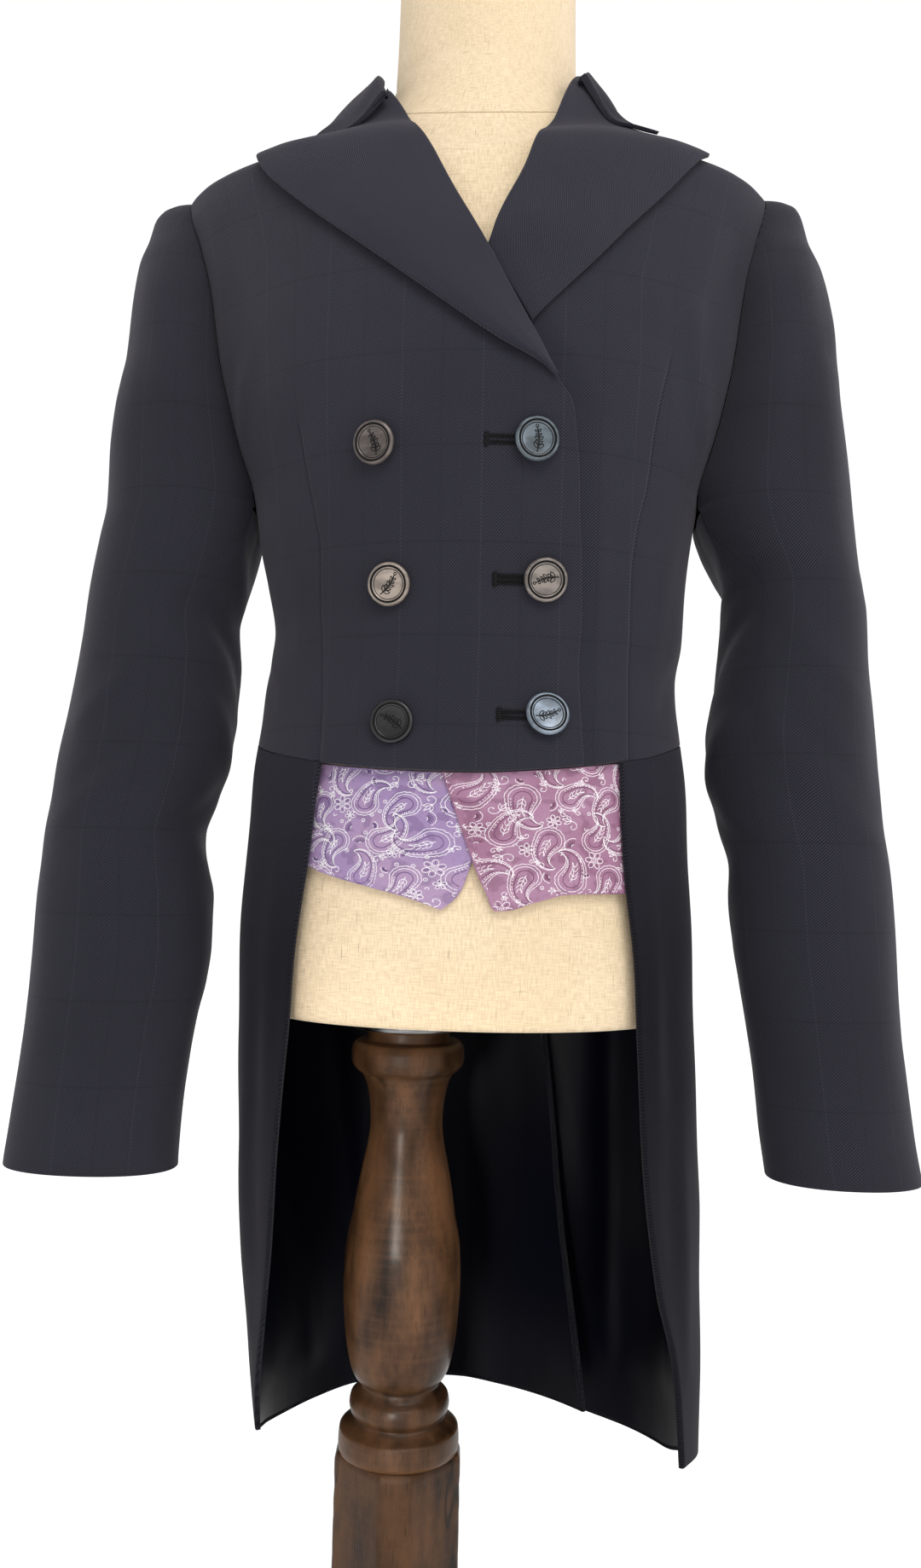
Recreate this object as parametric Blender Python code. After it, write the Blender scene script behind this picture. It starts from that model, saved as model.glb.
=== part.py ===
# Shadbelly coat with its two false waistcoat points, worn by a limbless dress form on a turned post.
# Origin at the middle of the base's underside, +Z up, -Y the coat's front, +X the wearer's left.
# Tables are in millimetres, x measured from the coat's middle line, which stands COAT_X beside the post.
import bpy
import math
import numpy as np

MM = 0.001
COAT_X = 33.0
MIDDLE_Y = 3.0
WALL = 2.0
THICK_WALL = 2.6
SEAM = 0.3
BUTTON_D = 23.0
BUTTON_H = 4.2
BASE_D = 360.0
BASE_H = 28.0
BLOCK_SIDE = 62.0
BLOCK_FACET = 17.0
BLOCK_TOP = 288.0
NECK_TOP = 1190.0
FORM_BOTTOM = 533.0

# Body of the coat: z, half width right, half width left, front depth, back depth, roundness
BODY = np.array([
    (523, 132, 132, 97, 98, 2.1), (575, 132, 130, 97, 96, 2.2), (620, 130, 127, 97, 93, 2.2),
    (667, 127, 124, 95, 90, 2.2),
    (690, 124, 121, 92, 88, 2.2), (722, 121, 117.5, 88, 86, 2.2), (748, 117, 121.5, 86, 84, 2.2),
    (778, 122, 123, 91, 86, 2.2),
    (800, 127, 125, 96, 89, 2.15), (825, 131, 129, 101, 92, 2.15), (850, 142, 139, 105, 95, 2.1),
    (875, 151, 148, 107, 97, 2.1), (900, 159, 155, 106, 98, 2.05), (940, 167, 162, 101, 98, 2.0),
    (975, 175, 168, 93, 96, 2.0), (1000, 180, 171, 86, 90, 2.0), (1007, 180, 170.5, 83, 87, 2.0),
    (1012, 177, 168, 80, 84.5, 2.0),
    (1017, 169, 161, 76, 81.5, 2.0), (1019.7, 162.5, 155.5, 74, 80, 2.0), (1024, 152, 146, 72, 78, 2.0),
    (1031, 136.5, 131, 70, 75.5, 2.0), (1041, 117, 112, 68, 73, 2.0), (1051.5, 92, 89, 66, 71, 2.0),
    (1064.5, 72, 70, 63, 68, 2.0), (1080, 61, 60, 58, 61, 2.0),
    (1095, 54, 54, 53, 56, 2.0), (1200, 51, 51, 50, 53, 2.0)], float)
# Gap from the coat's outside in to the dress form: z, gap in front, gap behind
FORM_GAP = np.array([
    (500, 8.8, 13), (680, 8.8, 13), (700, 6.4, 7), (1000, 6.4, 6.4), (1017, 6.0, 6.0), (1024, 5.2, 5.2), (1055, 4.2, 4.2),
    (1068, 4, 4), (1080, 4.0, 4.0), (1098, 1.0, 1.0), (1200, 0, 0)], float)
# Armhole: z, angle of its front edge, angle of its back edge
ARMHOLE = np.array([
    (822, 89.4, 90.6), (828, 77, 99), (840, 72, 105), (860, 70, 110), (885, 68, 112), (914, 67.5, 113),
    (950, 67.5, 111), (975, 69.5, 109), (996, 73, 106), (1008, 76.5, 102), (1014, 81, 98),
    (1017, 89.4, 90.6)], float)
# Inner edge of each front, from neck to waist: z, angle
RIGHT_EDGE = np.array([
    (660, 28), (714, 28), (768, 27), (819, 25), (844, 22.5), (856, 21), (868, 17), (876, 15), (896, 10),
    (939, 2), (973, -4), (1001, -9), (1032, -17), (1047, -28), (1058, -38), (1068, -52), (1080, -76)], float)
LEFT_EDGE = np.array([
    (660, -28), (840, -28), (868, -25), (880, -20), (900, -12), (920, -4), (939, 2), (962, 5.5), (987, 9),
    (1007, 11.5), (1033, 18), (1047, 28), (1058, 38), (1068, 52), (1080, 76)], float)
# Height of the waist seam all round: angle, z
WAIST = np.array([
    (-180, 690), (-90, 688), (-69, 681), (-47, 674), (-35, 670.5), (-15, 667), (0, 666), (20, 669),
    (28, 671), (40, 674), (50, 677), (70, 685), (90, 690), (180, 690)], float)
# Tails: z, half width and front depth on the right, the same on the left, back depth, roundness
TAIL = np.array([
    (290, 115, 50, 135, 100, 88, 2.0), (356, 123, 62, 136, 98, 93, 2.0), (400, 127, 80, 136, 96, 97, 2.0),
    (465, 130, 92, 134, 94, 99, 2.05), (523, 132, 97, 132, 97, 98, 2.1), (575, 132, 97, 130, 97, 96, 2.2),
    (620, 130, 97, 127, 97, 93, 2.2), (667, 127, 95, 124, 95, 90, 2.2), (690, 124, 92, 121, 92, 88, 2.2)],
    float)
# Front edges of the tails: z, angle on the right, angle on the left
TAIL_EDGE = np.array([
    (295, -80, 66), (356, -62, 60), (400, -54, 52), (465, -48.5, 47), (523, -43.5, 45), (572, -40.5, 43),
    (620, -37.5, 40.5), (650, -36.3, 40), (672, -35.3, 40.3)], float)
# Lower hem of the tails: angle, z on the right tail and on the left tail
HEM = np.array([
    (60, 296, 303), (80, 295, 297), (95, 291, 288), (114, 288, 278), (132, 290, 279), (145, 292, 281),
    (156, 292, 290), (180, 293, 294), (215, 297, 294)], float)
# Underlap of the right tail past the middle of the back: z, how far it reaches, how far it swings in
UNDERLAP = np.array([
    (290, 75, 42), (356, 66, 32), (400, 60, 24), (465, 53, 15), (523, 46, 10), (600, 36, 8), (660, 16, 7),
    (690, 4, 7)], float)
# Lower edges of the two points: share of the way across, angle, z
POINT_RIGHT = np.array([
    (0, -52, 620), (.26, -38, 615), (.33, -35, 613), (.66, -19, 605.2), (.82, -11, 601), (.92, -6.5, 597.6),
    (1, -3.5, 595)], float)
POINT_LEFT = np.array([
    (0, 6.5, 595), (.08, 9.5, 595.5), (.2, 16, 600), (.37, 24, 604), (.7, 40, 605), (1, 54, 609)], float)
# Inner side of the points from waist seam to tip: share of the way down, right angle, left angle
POINT_SIDE = np.array([
    (0, 7, -4), (.25, 5, -1.5), (.55, 2.5, 1), (.75, 1, 3), (.9, -.5, 5), (.96, -2, 5.6), (1, -3.5, 6.5)],
    float)
# Lapels, from the lower end to the top: share, fold line x and z, outer edge x and z
LAPEL_RIGHT = np.array([
    (0, 44.6, 868.8, 42.6, 868.4), (.07, 41.5, 873, 36.5, 873.6), (.18, 34, 886, 14, 885.5),
    (.32, 20, 911, -19, 909), (.52, 5, 940, -62, 944), (.68, -13, 973, -90, 969), (.87, -29, 1001, -120, 1002),
    (.95, -42, 1028, -124, 1011), (1, -49.8, 1045.4, -120, 1015)], float)
LAPEL_LEFT = np.array([
    (0, 6.5, 938, 30.5, 897), (.2, 16, 962, 61, 931), (.38, 26, 987, 81, 956), (.55, 32, 1007, 98, 977),
    (.74, 42, 1033, 118, 1004), (.88, 48, 1049, 126, 1014), (1, 53, 1063, 122, 1018.5)], float)
# Upper edges of the lapels from the fold to the tip of the peak: share, x, z
TOP_RIGHT = np.array([(0, -49.8, 1045.4), (.33, -71.2, 1018), (.66, -98, 1011), (1, -120, 1015)], float)
TOP_LEFT = np.array([(0, 53, 1063), (.3, 73, 1028), (.62, 98, 1017.5), (1, 122, 1018.5)], float)
# Lift of the lapels over the front: share across, lift
LAPEL_LIFT = np.array([(0, 3.2), (.12, 4.6), (.35, 6.6), (.65, 7.4), (.9, 6.0), (1, 5.0)], float)
# Collar from the right gorge round the neck to the left one, each row one section:
# fold x y z, outer edge x y z, foot of the stand x y z, how the middle of the fall dips in x y z
COLLAR = np.array([
    (-52, -68, 1052, -99, -69.5, 1016.5, -52, -66, 1049, 4, -5, -12),
    (-59, -57, 1066, -89.5, -69, 1024, -58, -52, 1060, 3, -4, -7),
    (-61.5, -39, 1079, -83, -57, 1043, -58.5, -37, 1071, 0, -2, -2),
    (-64.5, -14, 1088, -81, -28, 1062, -60, -12, 1081, 0, 0, 0),
    (-66, 12, 1093, -82, 10, 1071, -60, 11, 1083, 0, 0, 0), (-54, 39, 1098, -67, 48, 1072, -48.5, 36, 1083.5, 0, 0, 0),
    (-28, 57, 1100, -35, 71, 1073, -25.5, 53.5, 1084, 0, 0, 0), (0, 63, 1100, 0, 78, 1073, 0, 60, 1084, 0, 0, 0),
    (28, 57, 1100, 35, 71, 1073, 25.5, 53.5, 1084, 0, 0, 0), (54, 39, 1098, 67, 48, 1072, 48.5, 36, 1083.5, 0, 0, 0),
    (62.5, 12, 1093, 79, 10, 1071, 57.5, 11, 1083, 0, 0, 0), (61, -14, 1088, 76, -28, 1063, 57, -12, 1081, 0, 0, 0),
    (58, -36, 1082, 76, -54, 1049, 55.5, -35, 1072.5, 0, -2, -2),
    (56.5, -47, 1074, 85, -64, 1036, 55, -47, 1066.5, -3, -3, -8),
    (55, -54, 1069.5, 98, -69.5, 1026, 53.5, -52.5, 1066.5, -5, -5, -12)], float)
# Sleeves: z, outer x, inner x, middle y, half depth
SLEEVE_RIGHT = np.array([
    (441.8, -262.6, -162.8, -13, 29), (468.3, -259.1, -161.8, -13, 31), (506.3, -255.2, -158.1, -12, 34),
    (527.9, -253.2, -154.7, -12, 36), (547.4, -252.1, -150.6, -11, 38), (567, -250.7, -148.6, -11, 39.5),
    (595.4, -249.1, -149.8, -10, 41.5), (612.1, -247.6, -153.1, -9, 42), (632.8, -246, -155.3, -8, 43.5),
    (652.6, -243.1, -149.6, -7, 45), (673.4, -240.7, -144, -6, 47), (705.3, -235.8, -140.5, -4, 49),
    (733.3, -232.1, -141, -2, 51), (756.6, -229.4, -143.5, 0, 53), (775.8, -227.5, -137.8, 1, 55),
    (803, -223.5, -134.5, 2, 57), (823, -219.8, -133.5, 2, 58), (853, -219, -137, 2, 58),
    (880, -216, -140, 2, 58), (911, -209, -140, 2, 57), (941, -207.4, -140, 2, 54),
    (969, -206.3, -140, 3, 47), (986, -203, -140, 3, 41), (1000, -199, -140, 3, 35),
    (1008, -194, -138, 3, 30), (1013, -187.5, -140, 3, 22), (1016, -180, -142, 3, 15),
    (1019, -172, -148, 3, 9)], float)
SLEEVE_LEFT = np.array([
    (448.8, 255.1, 169.9, -13, 29), (474.2, 250.2, 166, -13, 31), (509.3, 245.6, 162.3, -12, 34),
    (528.9, 243.2, 159.4, -12, 36), (557.2, 241.5, 154.7, -11, 38.5), (574.9, 240.5, 151.7, -11, 40),
    (600.3, 238.9, 149.9, -10, 41.5), (620, 237.2, 149.1, -9, 42.5), (649.6, 233.4, 141.6, -7, 45),
    (675.4, 231.1, 136.3, -6, 47), (692.3, 230, 135.4, -5, 48), (711.2, 228.5, 138.1, -4, 49.5),
    (740.3, 226.1, 143.4, -2, 51), (765.6, 225.3, 146.7, 0, 53), (778.8, 223.4, 146.8, 1, 54.5),
    (791.8, 221.3, 141.8, 1, 56), (809, 220.1, 135.5, 2, 57), (823, 218.8, 132.5, 2, 58),
    (850, 216.1, 134, 2, 58), (880, 212, 136, 2, 58), (911, 207.1, 136, 2, 57), (941, 202.5, 136, 2, 54),
    (969, 198.5, 136, 3, 47), (986, 193.5, 134, 3, 41), (1000, 188.5, 134, 3, 35),
    (1008, 184.5, 132, 3, 30), (1013, 178.5, 133, 3, 22), (1016, 171.5, 135, 3, 15),
    (1019, 164.5, 141, 3, 9)], float)
# Where the two sleeve seams run, as angles from the sleeve's front middle
FRONT_SEAM = -34.0
BACK_SEAM = 228.0
# Buttons on the right front: x, z, turn
BUTTONS = {"button_1": (-49, 835, 20), "button_2": (-41, 764, -35), "button_3": (-37, 691, 60),
           "button_4": (34, 836, 5), "button_5": (40, 767, 110), "button_6": (42, 696, -70)}
# Turned post: radius, z
POST = np.array([
    (33.8, 288.3), (34.2, 292), (33.6, 300), (29, 303), (25.5, 306), (27.5, 309), (28.4, 313), (27.5, 317.5),
    (24, 320.5), (22.4, 324), (25.5, 328), (27.6, 332), (30, 341), (32.2, 356), (33.5, 380), (32.8, 398),
    (29.2, 419), (27.3, 431), (24.7, 445), (21.8, 459), (20.8, 469), (21.2, 478), (22.8, 488), (26.2, 497),
    (30.5, 500.5), (32.6, 505), (32.5, 511), (30, 515.5), (24, 516.5), (23.5, 523)], float)


def material(name, color, rough, metal=0.0):
    mat = bpy.data.materials.new(name)
    mat.use_nodes = True
    node = mat.node_tree.nodes["Principled BSDF"]
    node.inputs["Base Color"].default_value = (*color, 1.0)
    node.inputs["Roughness"].default_value = rough
    node.inputs["Metallic"].default_value = metal
    return mat


def signed_volume(v, faces):
    total = 0.0
    for f in faces:
        for k in range(1, len(f) - 1):
            total += np.dot(v[f[0]], np.cross(v[f[k]], v[f[k + 1]]))
    return total / 6.0


def settled(v):
    """The shoulders and collar sit 8 mm lower on the form than the tables have them, eased in from z 1008."""
    v = np.array(v, float)
    lo = np.clip((v[..., 2] - 1008) / 34, 0, 1)
    hi = np.clip((v[..., 2] - 1112) / 60, 0, 1)
    v[..., 2] -= 8 * (lo * lo * (3 - 2 * lo) - hi * hi * (3 - 2 * hi))
    return v


def solid(name, v, faces, mat, smooth):
    v = settled(v)
    if signed_volume(v - v.mean(0), faces) < 0:
        faces = [tuple(reversed(f)) for f in faces]
    mesh = bpy.data.meshes.new(name)
    mesh.from_pydata((v * MM).tolist(), [], [tuple(int(i) for i in f) for f in faces])
    for poly, s in zip(mesh.polygons, smooth):
        poly.use_smooth = bool(s)
    mesh.materials.append(mat)
    obj = bpy.data.objects.new(name, mesh)
    bpy.context.scene.collection.objects.link(obj)
    return obj


def normals(p, centre):
    """Outward unit normals of a grid of points, away from centre."""
    du = np.gradient(p, axis=0)
    dv = np.gradient(p, axis=1)
    n = np.cross(du, dv)
    n /= np.maximum(np.linalg.norm(n, axis=2, keepdims=True), 1e-9)
    if np.sum(n * (p - centre)) < 0:
        n = -n
    return n


def grid_faces(rows, cols, start, flip):
    out = []
    for i in range(rows - 1):
        for j in range(cols - 1):
            a = start + i * cols + j
            for f in ((a, a + 1, a + cols + 1), (a, a + cols + 1, a + cols)):
                out.append(tuple(reversed(f)) if flip else f)
    return out


def cloth(name, p, centre, mat, wall=WALL, n=None):
    """A grid of outer points given a wall inward along its normals, closed round the rim."""
    rows, cols = p.shape[:2]
    if n is None:
        n = normals(p, np.asarray(centre, float))
    inner = p - wall * n
    v = np.concatenate([p.reshape(-1, 3), inner.reshape(-1, 3)])
    k = rows * cols
    faces = grid_faces(rows, cols, 0, False) + grid_faces(rows, cols, k, True)
    smooth = [True] * len(faces)
    rim = [j for j in range(cols)] + [i * cols + cols - 1 for i in range(1, rows)]
    rim += [(rows - 1) * cols + j for j in range(cols - 2, -1, -1)] + [i * cols for i in range(rows - 2, 0, -1)]
    for a, b in zip(rim, rim[1:] + rim[:1]):
        faces.append((b, a, a + k, b + k))
        smooth.append(False)
    return solid(name, v, faces, mat, smooth)


def column(table, z, k):
    return np.interp(z, table[:, 0], table[:, k])


def body(angle, z, out=0.0):
    """Point of the coat's body at an angle round it (0 front, + to the wearer's left) and a height."""
    s, c = np.sin(np.radians(angle)), np.cos(np.radians(angle))
    side = np.where(s < 0, column(BODY, z, 1), column(BODY, z, 2))
    deep = np.where(c > 0, column(BODY, z, 3) + MIDDLE_Y, column(BODY, z, 4) - MIDDLE_Y)
    e = 2.0 / column(BODY, z, 5)
    x = (side + out) * np.sign(s) * np.abs(s) ** e
    y = MIDDLE_Y - (deep + out) * np.sign(c) * np.abs(c) ** e
    return np.stack(np.broadcast_arrays(x + COAT_X, y, z), -1)


def body_at(x, z, out=0.0):
    """Point of the body's front at a given x and height."""
    side = np.where(x < 0, column(BODY, z, 1), column(BODY, z, 2)) + out
    n = column(BODY, z, 5)
    q = np.clip(np.abs(x) / side, 0, 0.995)
    y = MIDDLE_Y - (column(BODY, z, 3) + MIDDLE_Y + out) * (1 - q ** n) ** (1 / n)
    return np.stack(np.broadcast_arrays(x + COAT_X, y, z), -1)


def true_normals(surface, angle, z):
    """Outward normals taken from the surface itself, so that neighbours agree along their seam."""
    du = surface(angle + 1.5, z) - surface(angle - 1.5, z)
    dv = surface(angle, z + 3.0) - surface(angle, z - 3.0)
    n = np.cross(du, dv)
    return n / np.maximum(np.linalg.norm(n, axis=-1, keepdims=True), 1e-9)


def tail_point(angle, z, out=0.0):
    s, c = np.sin(np.radians(angle)), np.cos(np.radians(angle))
    side = np.where(s < 0, column(TAIL, z, 1), column(TAIL, z, 3))
    front = np.where(s < 0, column(TAIL, z, 2), column(TAIL, z, 4))
    deep = np.where(c > 0, front + MIDDLE_Y, column(TAIL, z, 5) - MIDDLE_Y)
    e = 2.0 / column(TAIL, z, 6)
    x = (side + out) * np.sign(s) * np.abs(s) ** e
    y = MIDDLE_Y - (deep + out) * np.sign(c) * np.abs(c) ** e
    return np.stack(np.broadcast_arrays(x + COAT_X, y, z), -1)


def waist_drop(angle, z):
    """Moves the lowest rows of a panel onto the waist seam, less and less up to 745 mm."""
    w = np.clip((745.0 - z) / 57.0, 0, 1) ** 1.2
    return z + (np.interp(angle, WAIST[:, 0], WAIST[:, 1]) + SEAM / 2 - 688.0) * w


def spread(lo, hi, n, t=None):
    t = np.linspace(0, 1, n) if t is None else t
    return lo[:, None] + (hi - lo)[:, None] * t[None, :]


PANEL_Z = np.array([688, 705, 725, 745, 772, 800, 815, 822.2, 830, 842, 856, 869, 885, 905, 925, 942, 960, 978, 996,
                    1008, 1017.2, 1023, 1030, 1038, 1047, 1057, 1068, 1080], float)


def side_edge(z, k):
    """Side seam, armhole and shoulder seam as one line: k 1 on the front, 2 on the back."""
    mid = 90 - 0.09 if k == 1 else 90 + 0.09
    arm = column(ARMHOLE, z, k)
    inside = (z > ARMHOLE[0, 0]) & (z < ARMHOLE[-1, 0])
    return np.where(inside, arm, mid)


def tucked(a, z, depth):
    """How far the left front sinks where it passes below the right one."""
    lim = np.interp(z, RIGHT_EDGE[:, 0], RIGHT_EDGE[:, 1])
    return depth * np.clip((965 - z) / 20, 0, 1) * np.clip((lim + 5.5 - a) / 4.0, 0, 1)


def front(name, sign, edge, mat, tuck=None):
    z = PANEL_Z
    outer = -side_edge(z, 1) if sign < 0 else side_edge(z, 1)
    inner = np.interp(z, edge[:, 0], edge[:, 1])
    if sign < 0:
        inner = inner - 0.15
    else:
        inner = inner + 0.15
    t = np.linspace(0, 1, 12)
    a = spread(inner, outer, 12, t)
    if tuck is not None:
        # columns that follow the edge of the front above it
        lim = np.interp(z, RIGHT_EDGE[:, 0], RIGHT_EDGE[:, 1])
        k1 = np.maximum(inner + 2.5, lim + 1.5)
        k2 = np.maximum(k1 + 3.5, lim + 5.5)
        a = np.concatenate([spread(inner, k1, 5)[:, :4], spread(k1, k2, 2), spread(k2, outer, 7)[:, 1:]], 1)
    zz = waist_drop(a, np.repeat(z[:, None], 12, 1))
    off = np.zeros_like(a)
    if tuck is not None:
        off = -tucked(a, zz, tuck)
    p = body(a, zz, 0.0)
    n = true_normals(body, a, zz)
    p = p + n * off[..., None]
    return cloth(name, p, None, mat, n=n)


def back(name, sign, mat):
    z = PANEL_Z.copy()
    top = np.interp(z, [1017.2, 1080], [0, 1])
    outer = side_edge(z, 2)
    inner = np.full_like(z, 179.93)
    a = spread(outer, inner, 9)
    zz = waist_drop(a * sign, np.repeat(z[:, None], 9, 1))
    a = a * sign
    # the back's neck edge stands higher than the shoulder seam
    zz = zz + (top ** 2)[:, None] * 1.5 * np.linspace(0, 1, 9)[None, :] ** 0.7
    return cloth(name, body(a, zz), None, mat, n=true_normals(body, a, zz))


def arm_ring(table, z, angle):
    xo, xi = column(table, z, 1), column(table, z, 2)
    yc, hd = column(table, z, 3), column(table, z, 4)
    xc, half = (xo + xi) / 2, (xo - xi) / 2
    s, c = np.sin(np.radians(angle)), np.cos(np.radians(angle))
    e = 2 / 2.15
    x = xc + half * np.sign(s) * np.abs(s) ** e
    y = yc - hd * np.sign(c) * np.abs(c) ** e
    return np.stack(np.broadcast_arrays(x + COAT_X, y, z), -1)


def seam_angles(z):
    """The two sleeve seams, which close in on the underarm near the armhole."""
    k = np.clip((821.5 - z) / 60, 0, 1)
    k = k * k * (3 - 2 * k)
    return -66 + (FRONT_SEAM + 66) * k, 246 + (BACK_SEAM - 246) * k


def sleeve(side, table, mat):
    sign = -1 if side == "right" else 1
    low = table[0, 0]
    z_arm = np.array([1018.8, 1015.6, 1010, 1000, 984, 958, 925, 890, 862, 843, 829.5], float)
    z_low = np.array(sorted([z for z in table[:, 0] if z < 812] + [821.5], reverse=True))
    z_low[-1] = low
    cols = 12
    u = np.linspace(0, 1, cols)
    rows, spans = [], []
    for z in np.concatenate([z_arm, z_low]):
        if z > 822.5:
            top = min(z, 1015.6)
            f = body(np.array(sign * column(ARMHOLE, top, 1)), np.array(top), 0.9)
            b = body(np.array(sign * column(ARMHOLE, top, 2)), np.array(top), 0.9)
            f[2] = b[2] = z
            f[0] += sign * 0.5
            b[0] += sign * 0.5
            xo, xi = column(table, z, 1), column(table, z, 2)
            xc, half = (xo + xi) / 2, (xo - xi) / 2
            yc, hd = column(table, z, 3), column(table, z, 4)
            af = math.degrees(math.atan2((f[0] - COAT_X - xc) / half, (yc - f[1]) / hd))
            ab = math.degrees(math.atan2((b[0] - COAT_X - xc) / half, (yc - b[1]) / hd)) % 360
        else:
            af, ab = seam_angles(z)
            f = b = None
        p = arm_ring(table, np.full(cols, z), af + (ab - af) * u)
        if f is not None:
            p = p + ((1 - u) ** 3)[:, None] * (f - p[0]) + (u ** 3)[:, None] * (b - p[-1])
        rows.append(p)
        spans.append((af, ab))
    p = np.array(rows)
    angles = np.array(spans)
    n = normals(p, arm_middle(table, p))
    zz = np.repeat(p[:, :1, 2], cols, 1)
    aa = angles[:, :1] + (angles[:, 1:] - angles[:, :1]) * u[None, :]
    own = true_normals(lambda a, z: arm_ring(table, z, a), aa, zz)
    if np.sum(own[-1] * (p[-1] - arm_middle(table, p)[-1])) < 0:
        own = -own
    w = (zz < 822)[..., None] * 1.0
    n = n * (1 - w) + own * w
    n = n * np.interp(zz, [1008, 1017], [1, 0.6])[..., None]
    cloth("sleeve_%s_top" % side, p, None, mat, n=n)
    rows, aa = [], []
    for z in z_low:
        af, ab = seam_angles(z)
        aa.append(np.linspace(af - 0.4, ab - 360 + 0.4, 7))
        rows.append(arm_ring(table, np.full(7, z), aa[-1]))
    p = np.array(rows)
    own = true_normals(lambda a, z: arm_ring(table, z, a), np.array(aa), p[..., 2])
    if np.sum(own * (p - arm_middle(table, p))) < 0:
        own = -own
    cloth("sleeve_%s_under" % side, p, None, mat, n=own)


def arm_middle(table, p):
    c = p.copy()
    c[..., 0] = COAT_X + (column(table, p[..., 2], 1) + column(table, p[..., 2], 2)) / 2
    c[..., 1] = column(table, p[..., 2], 3)
    return c


def lapel(name, table, top, mat, tuck, rows=12, cols=6):
    """Between the fold line and the outer edge, its top following the gorge, notch and peak."""
    t = np.unique(np.concatenate([table[:, 0], np.linspace(0, 1, rows)]))
    s = np.unique(np.round(np.concatenate([top[:, 0], np.linspace(0, 1, cols)]), 3))
    s = s[np.concatenate([[True], np.diff(s) > 0.02])]
    fx, fz = np.interp(t, table[:, 0], table[:, 1]), np.interp(t, table[:, 0], table[:, 2])
    ox, oz = np.interp(t, table[:, 0], table[:, 3]), np.interp(t, table[:, 0], table[:, 4])
    x = fx[:, None] + (ox - fx)[:, None] * s[None, :]
    z = fz[:, None] + (oz - fz)[:, None] * s[None, :]
    tx, tz = np.interp(s, top[:, 0], top[:, 1]), np.interp(s, top[:, 0], top[:, 2])
    w = t[:, None] ** 2.2
    x = x + w * (tx - x[-1])[None, :]
    z = z + w * (tz - z[-1])[None, :]
    lift = np.interp(s, LAPEL_LIFT[:, 0], LAPEL_LIFT[:, 1])[None, :] * np.ones_like(z)
    ramp = np.clip(t / 0.22, 0, 1)[:, None]
    lift = 2.8 + (np.maximum(lift, 2.8) - 2.8) * ramp
    if tuck:
        side = np.where(x < 0, column(BODY, z, 1), column(BODY, z, 2))
        q = np.clip(np.abs(x) / side, 0, 1) ** (column(BODY, z, 5) / 2)
        lift = lift - tucked(np.sign(x) * np.degrees(np.arcsin(q)) + 1.5, z, tuck)
    du = body_at(x + 1.5, z) - body_at(x - 1.5, z)
    dv = body_at(x, z + 3.0) - body_at(x, z - 3.0)
    n = np.cross(du, dv)
    n /= np.linalg.norm(n, axis=-1, keepdims=True)
    return cloth(name, body_at(x, z) + n * lift[..., None], None, mat, n=n)


def collar(mat):
    def curve(k, t):
        x = np.linspace(0, 1, len(COLLAR))
        return np.interp(t, x, COLLAR[:, k])
    t = np.linspace(0, 1, 25)
    rows = []
    for i, tt in enumerate(t):
        fold, edge, foot, dip = [np.array([curve(k + j, tt) for j in range(3)]) for k in (0, 3, 6, 9)]
        # outward direction across the section, and the section's own plane
        out = edge - foot
        out[2] = 0
        out /= np.linalg.norm(out)
        up = np.array([0.0, 0.0, 1.0])
        along = np.array([curve(j, min(tt + .03, 1)) - curve(j, max(tt - .03, 0)) for j in range(3)])
        off = np.cross(along, edge - fold)
        off /= np.linalg.norm(off) * (1 if np.dot(off, out) > 0 else -1)
        h = THICK_WALL
        g = 0.9
        bow = (fold + edge) / 2 + out * 2.2 + up * 1.0 + dip
        sec = [foot, fold - out * 1.0 - up * 2.6, fold - out * 0.4 - up * 0.6, fold + out * 1.4 + up * 0.2,
               fold + out * (h + 0.9) - up * 1.2, bow, edge]
        down = [edge - off * h * 0.9, bow - off * h, fold + out * (g + 0.8) - up * (h + 1.8),
                fold + out * 0.9 - up * (h + 1.2), foot + out * (h - 0.9) + up * 0.3]
        rows.append([q + np.array([COAT_X, 0, 0]) for q in sec + down])
    ring = np.array(rows)
    n, m = ring.shape[:2]
    v = ring.reshape(-1, 3)
    faces, smooth = [], []
    for i in range(n - 1):
        for j in range(m):
            k = (j + 1) % m
            faces.append((i * m + j, i * m + k, (i + 1) * m + k, (i + 1) * m + j))
            smooth.append(True)
    faces.append(tuple(range(m - 1, -1, -1)))
    faces.append(tuple((n - 1) * m + j for j in range(m)))
    smooth += [False, False]
    return solid("collar", v, faces, mat, smooth)


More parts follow.
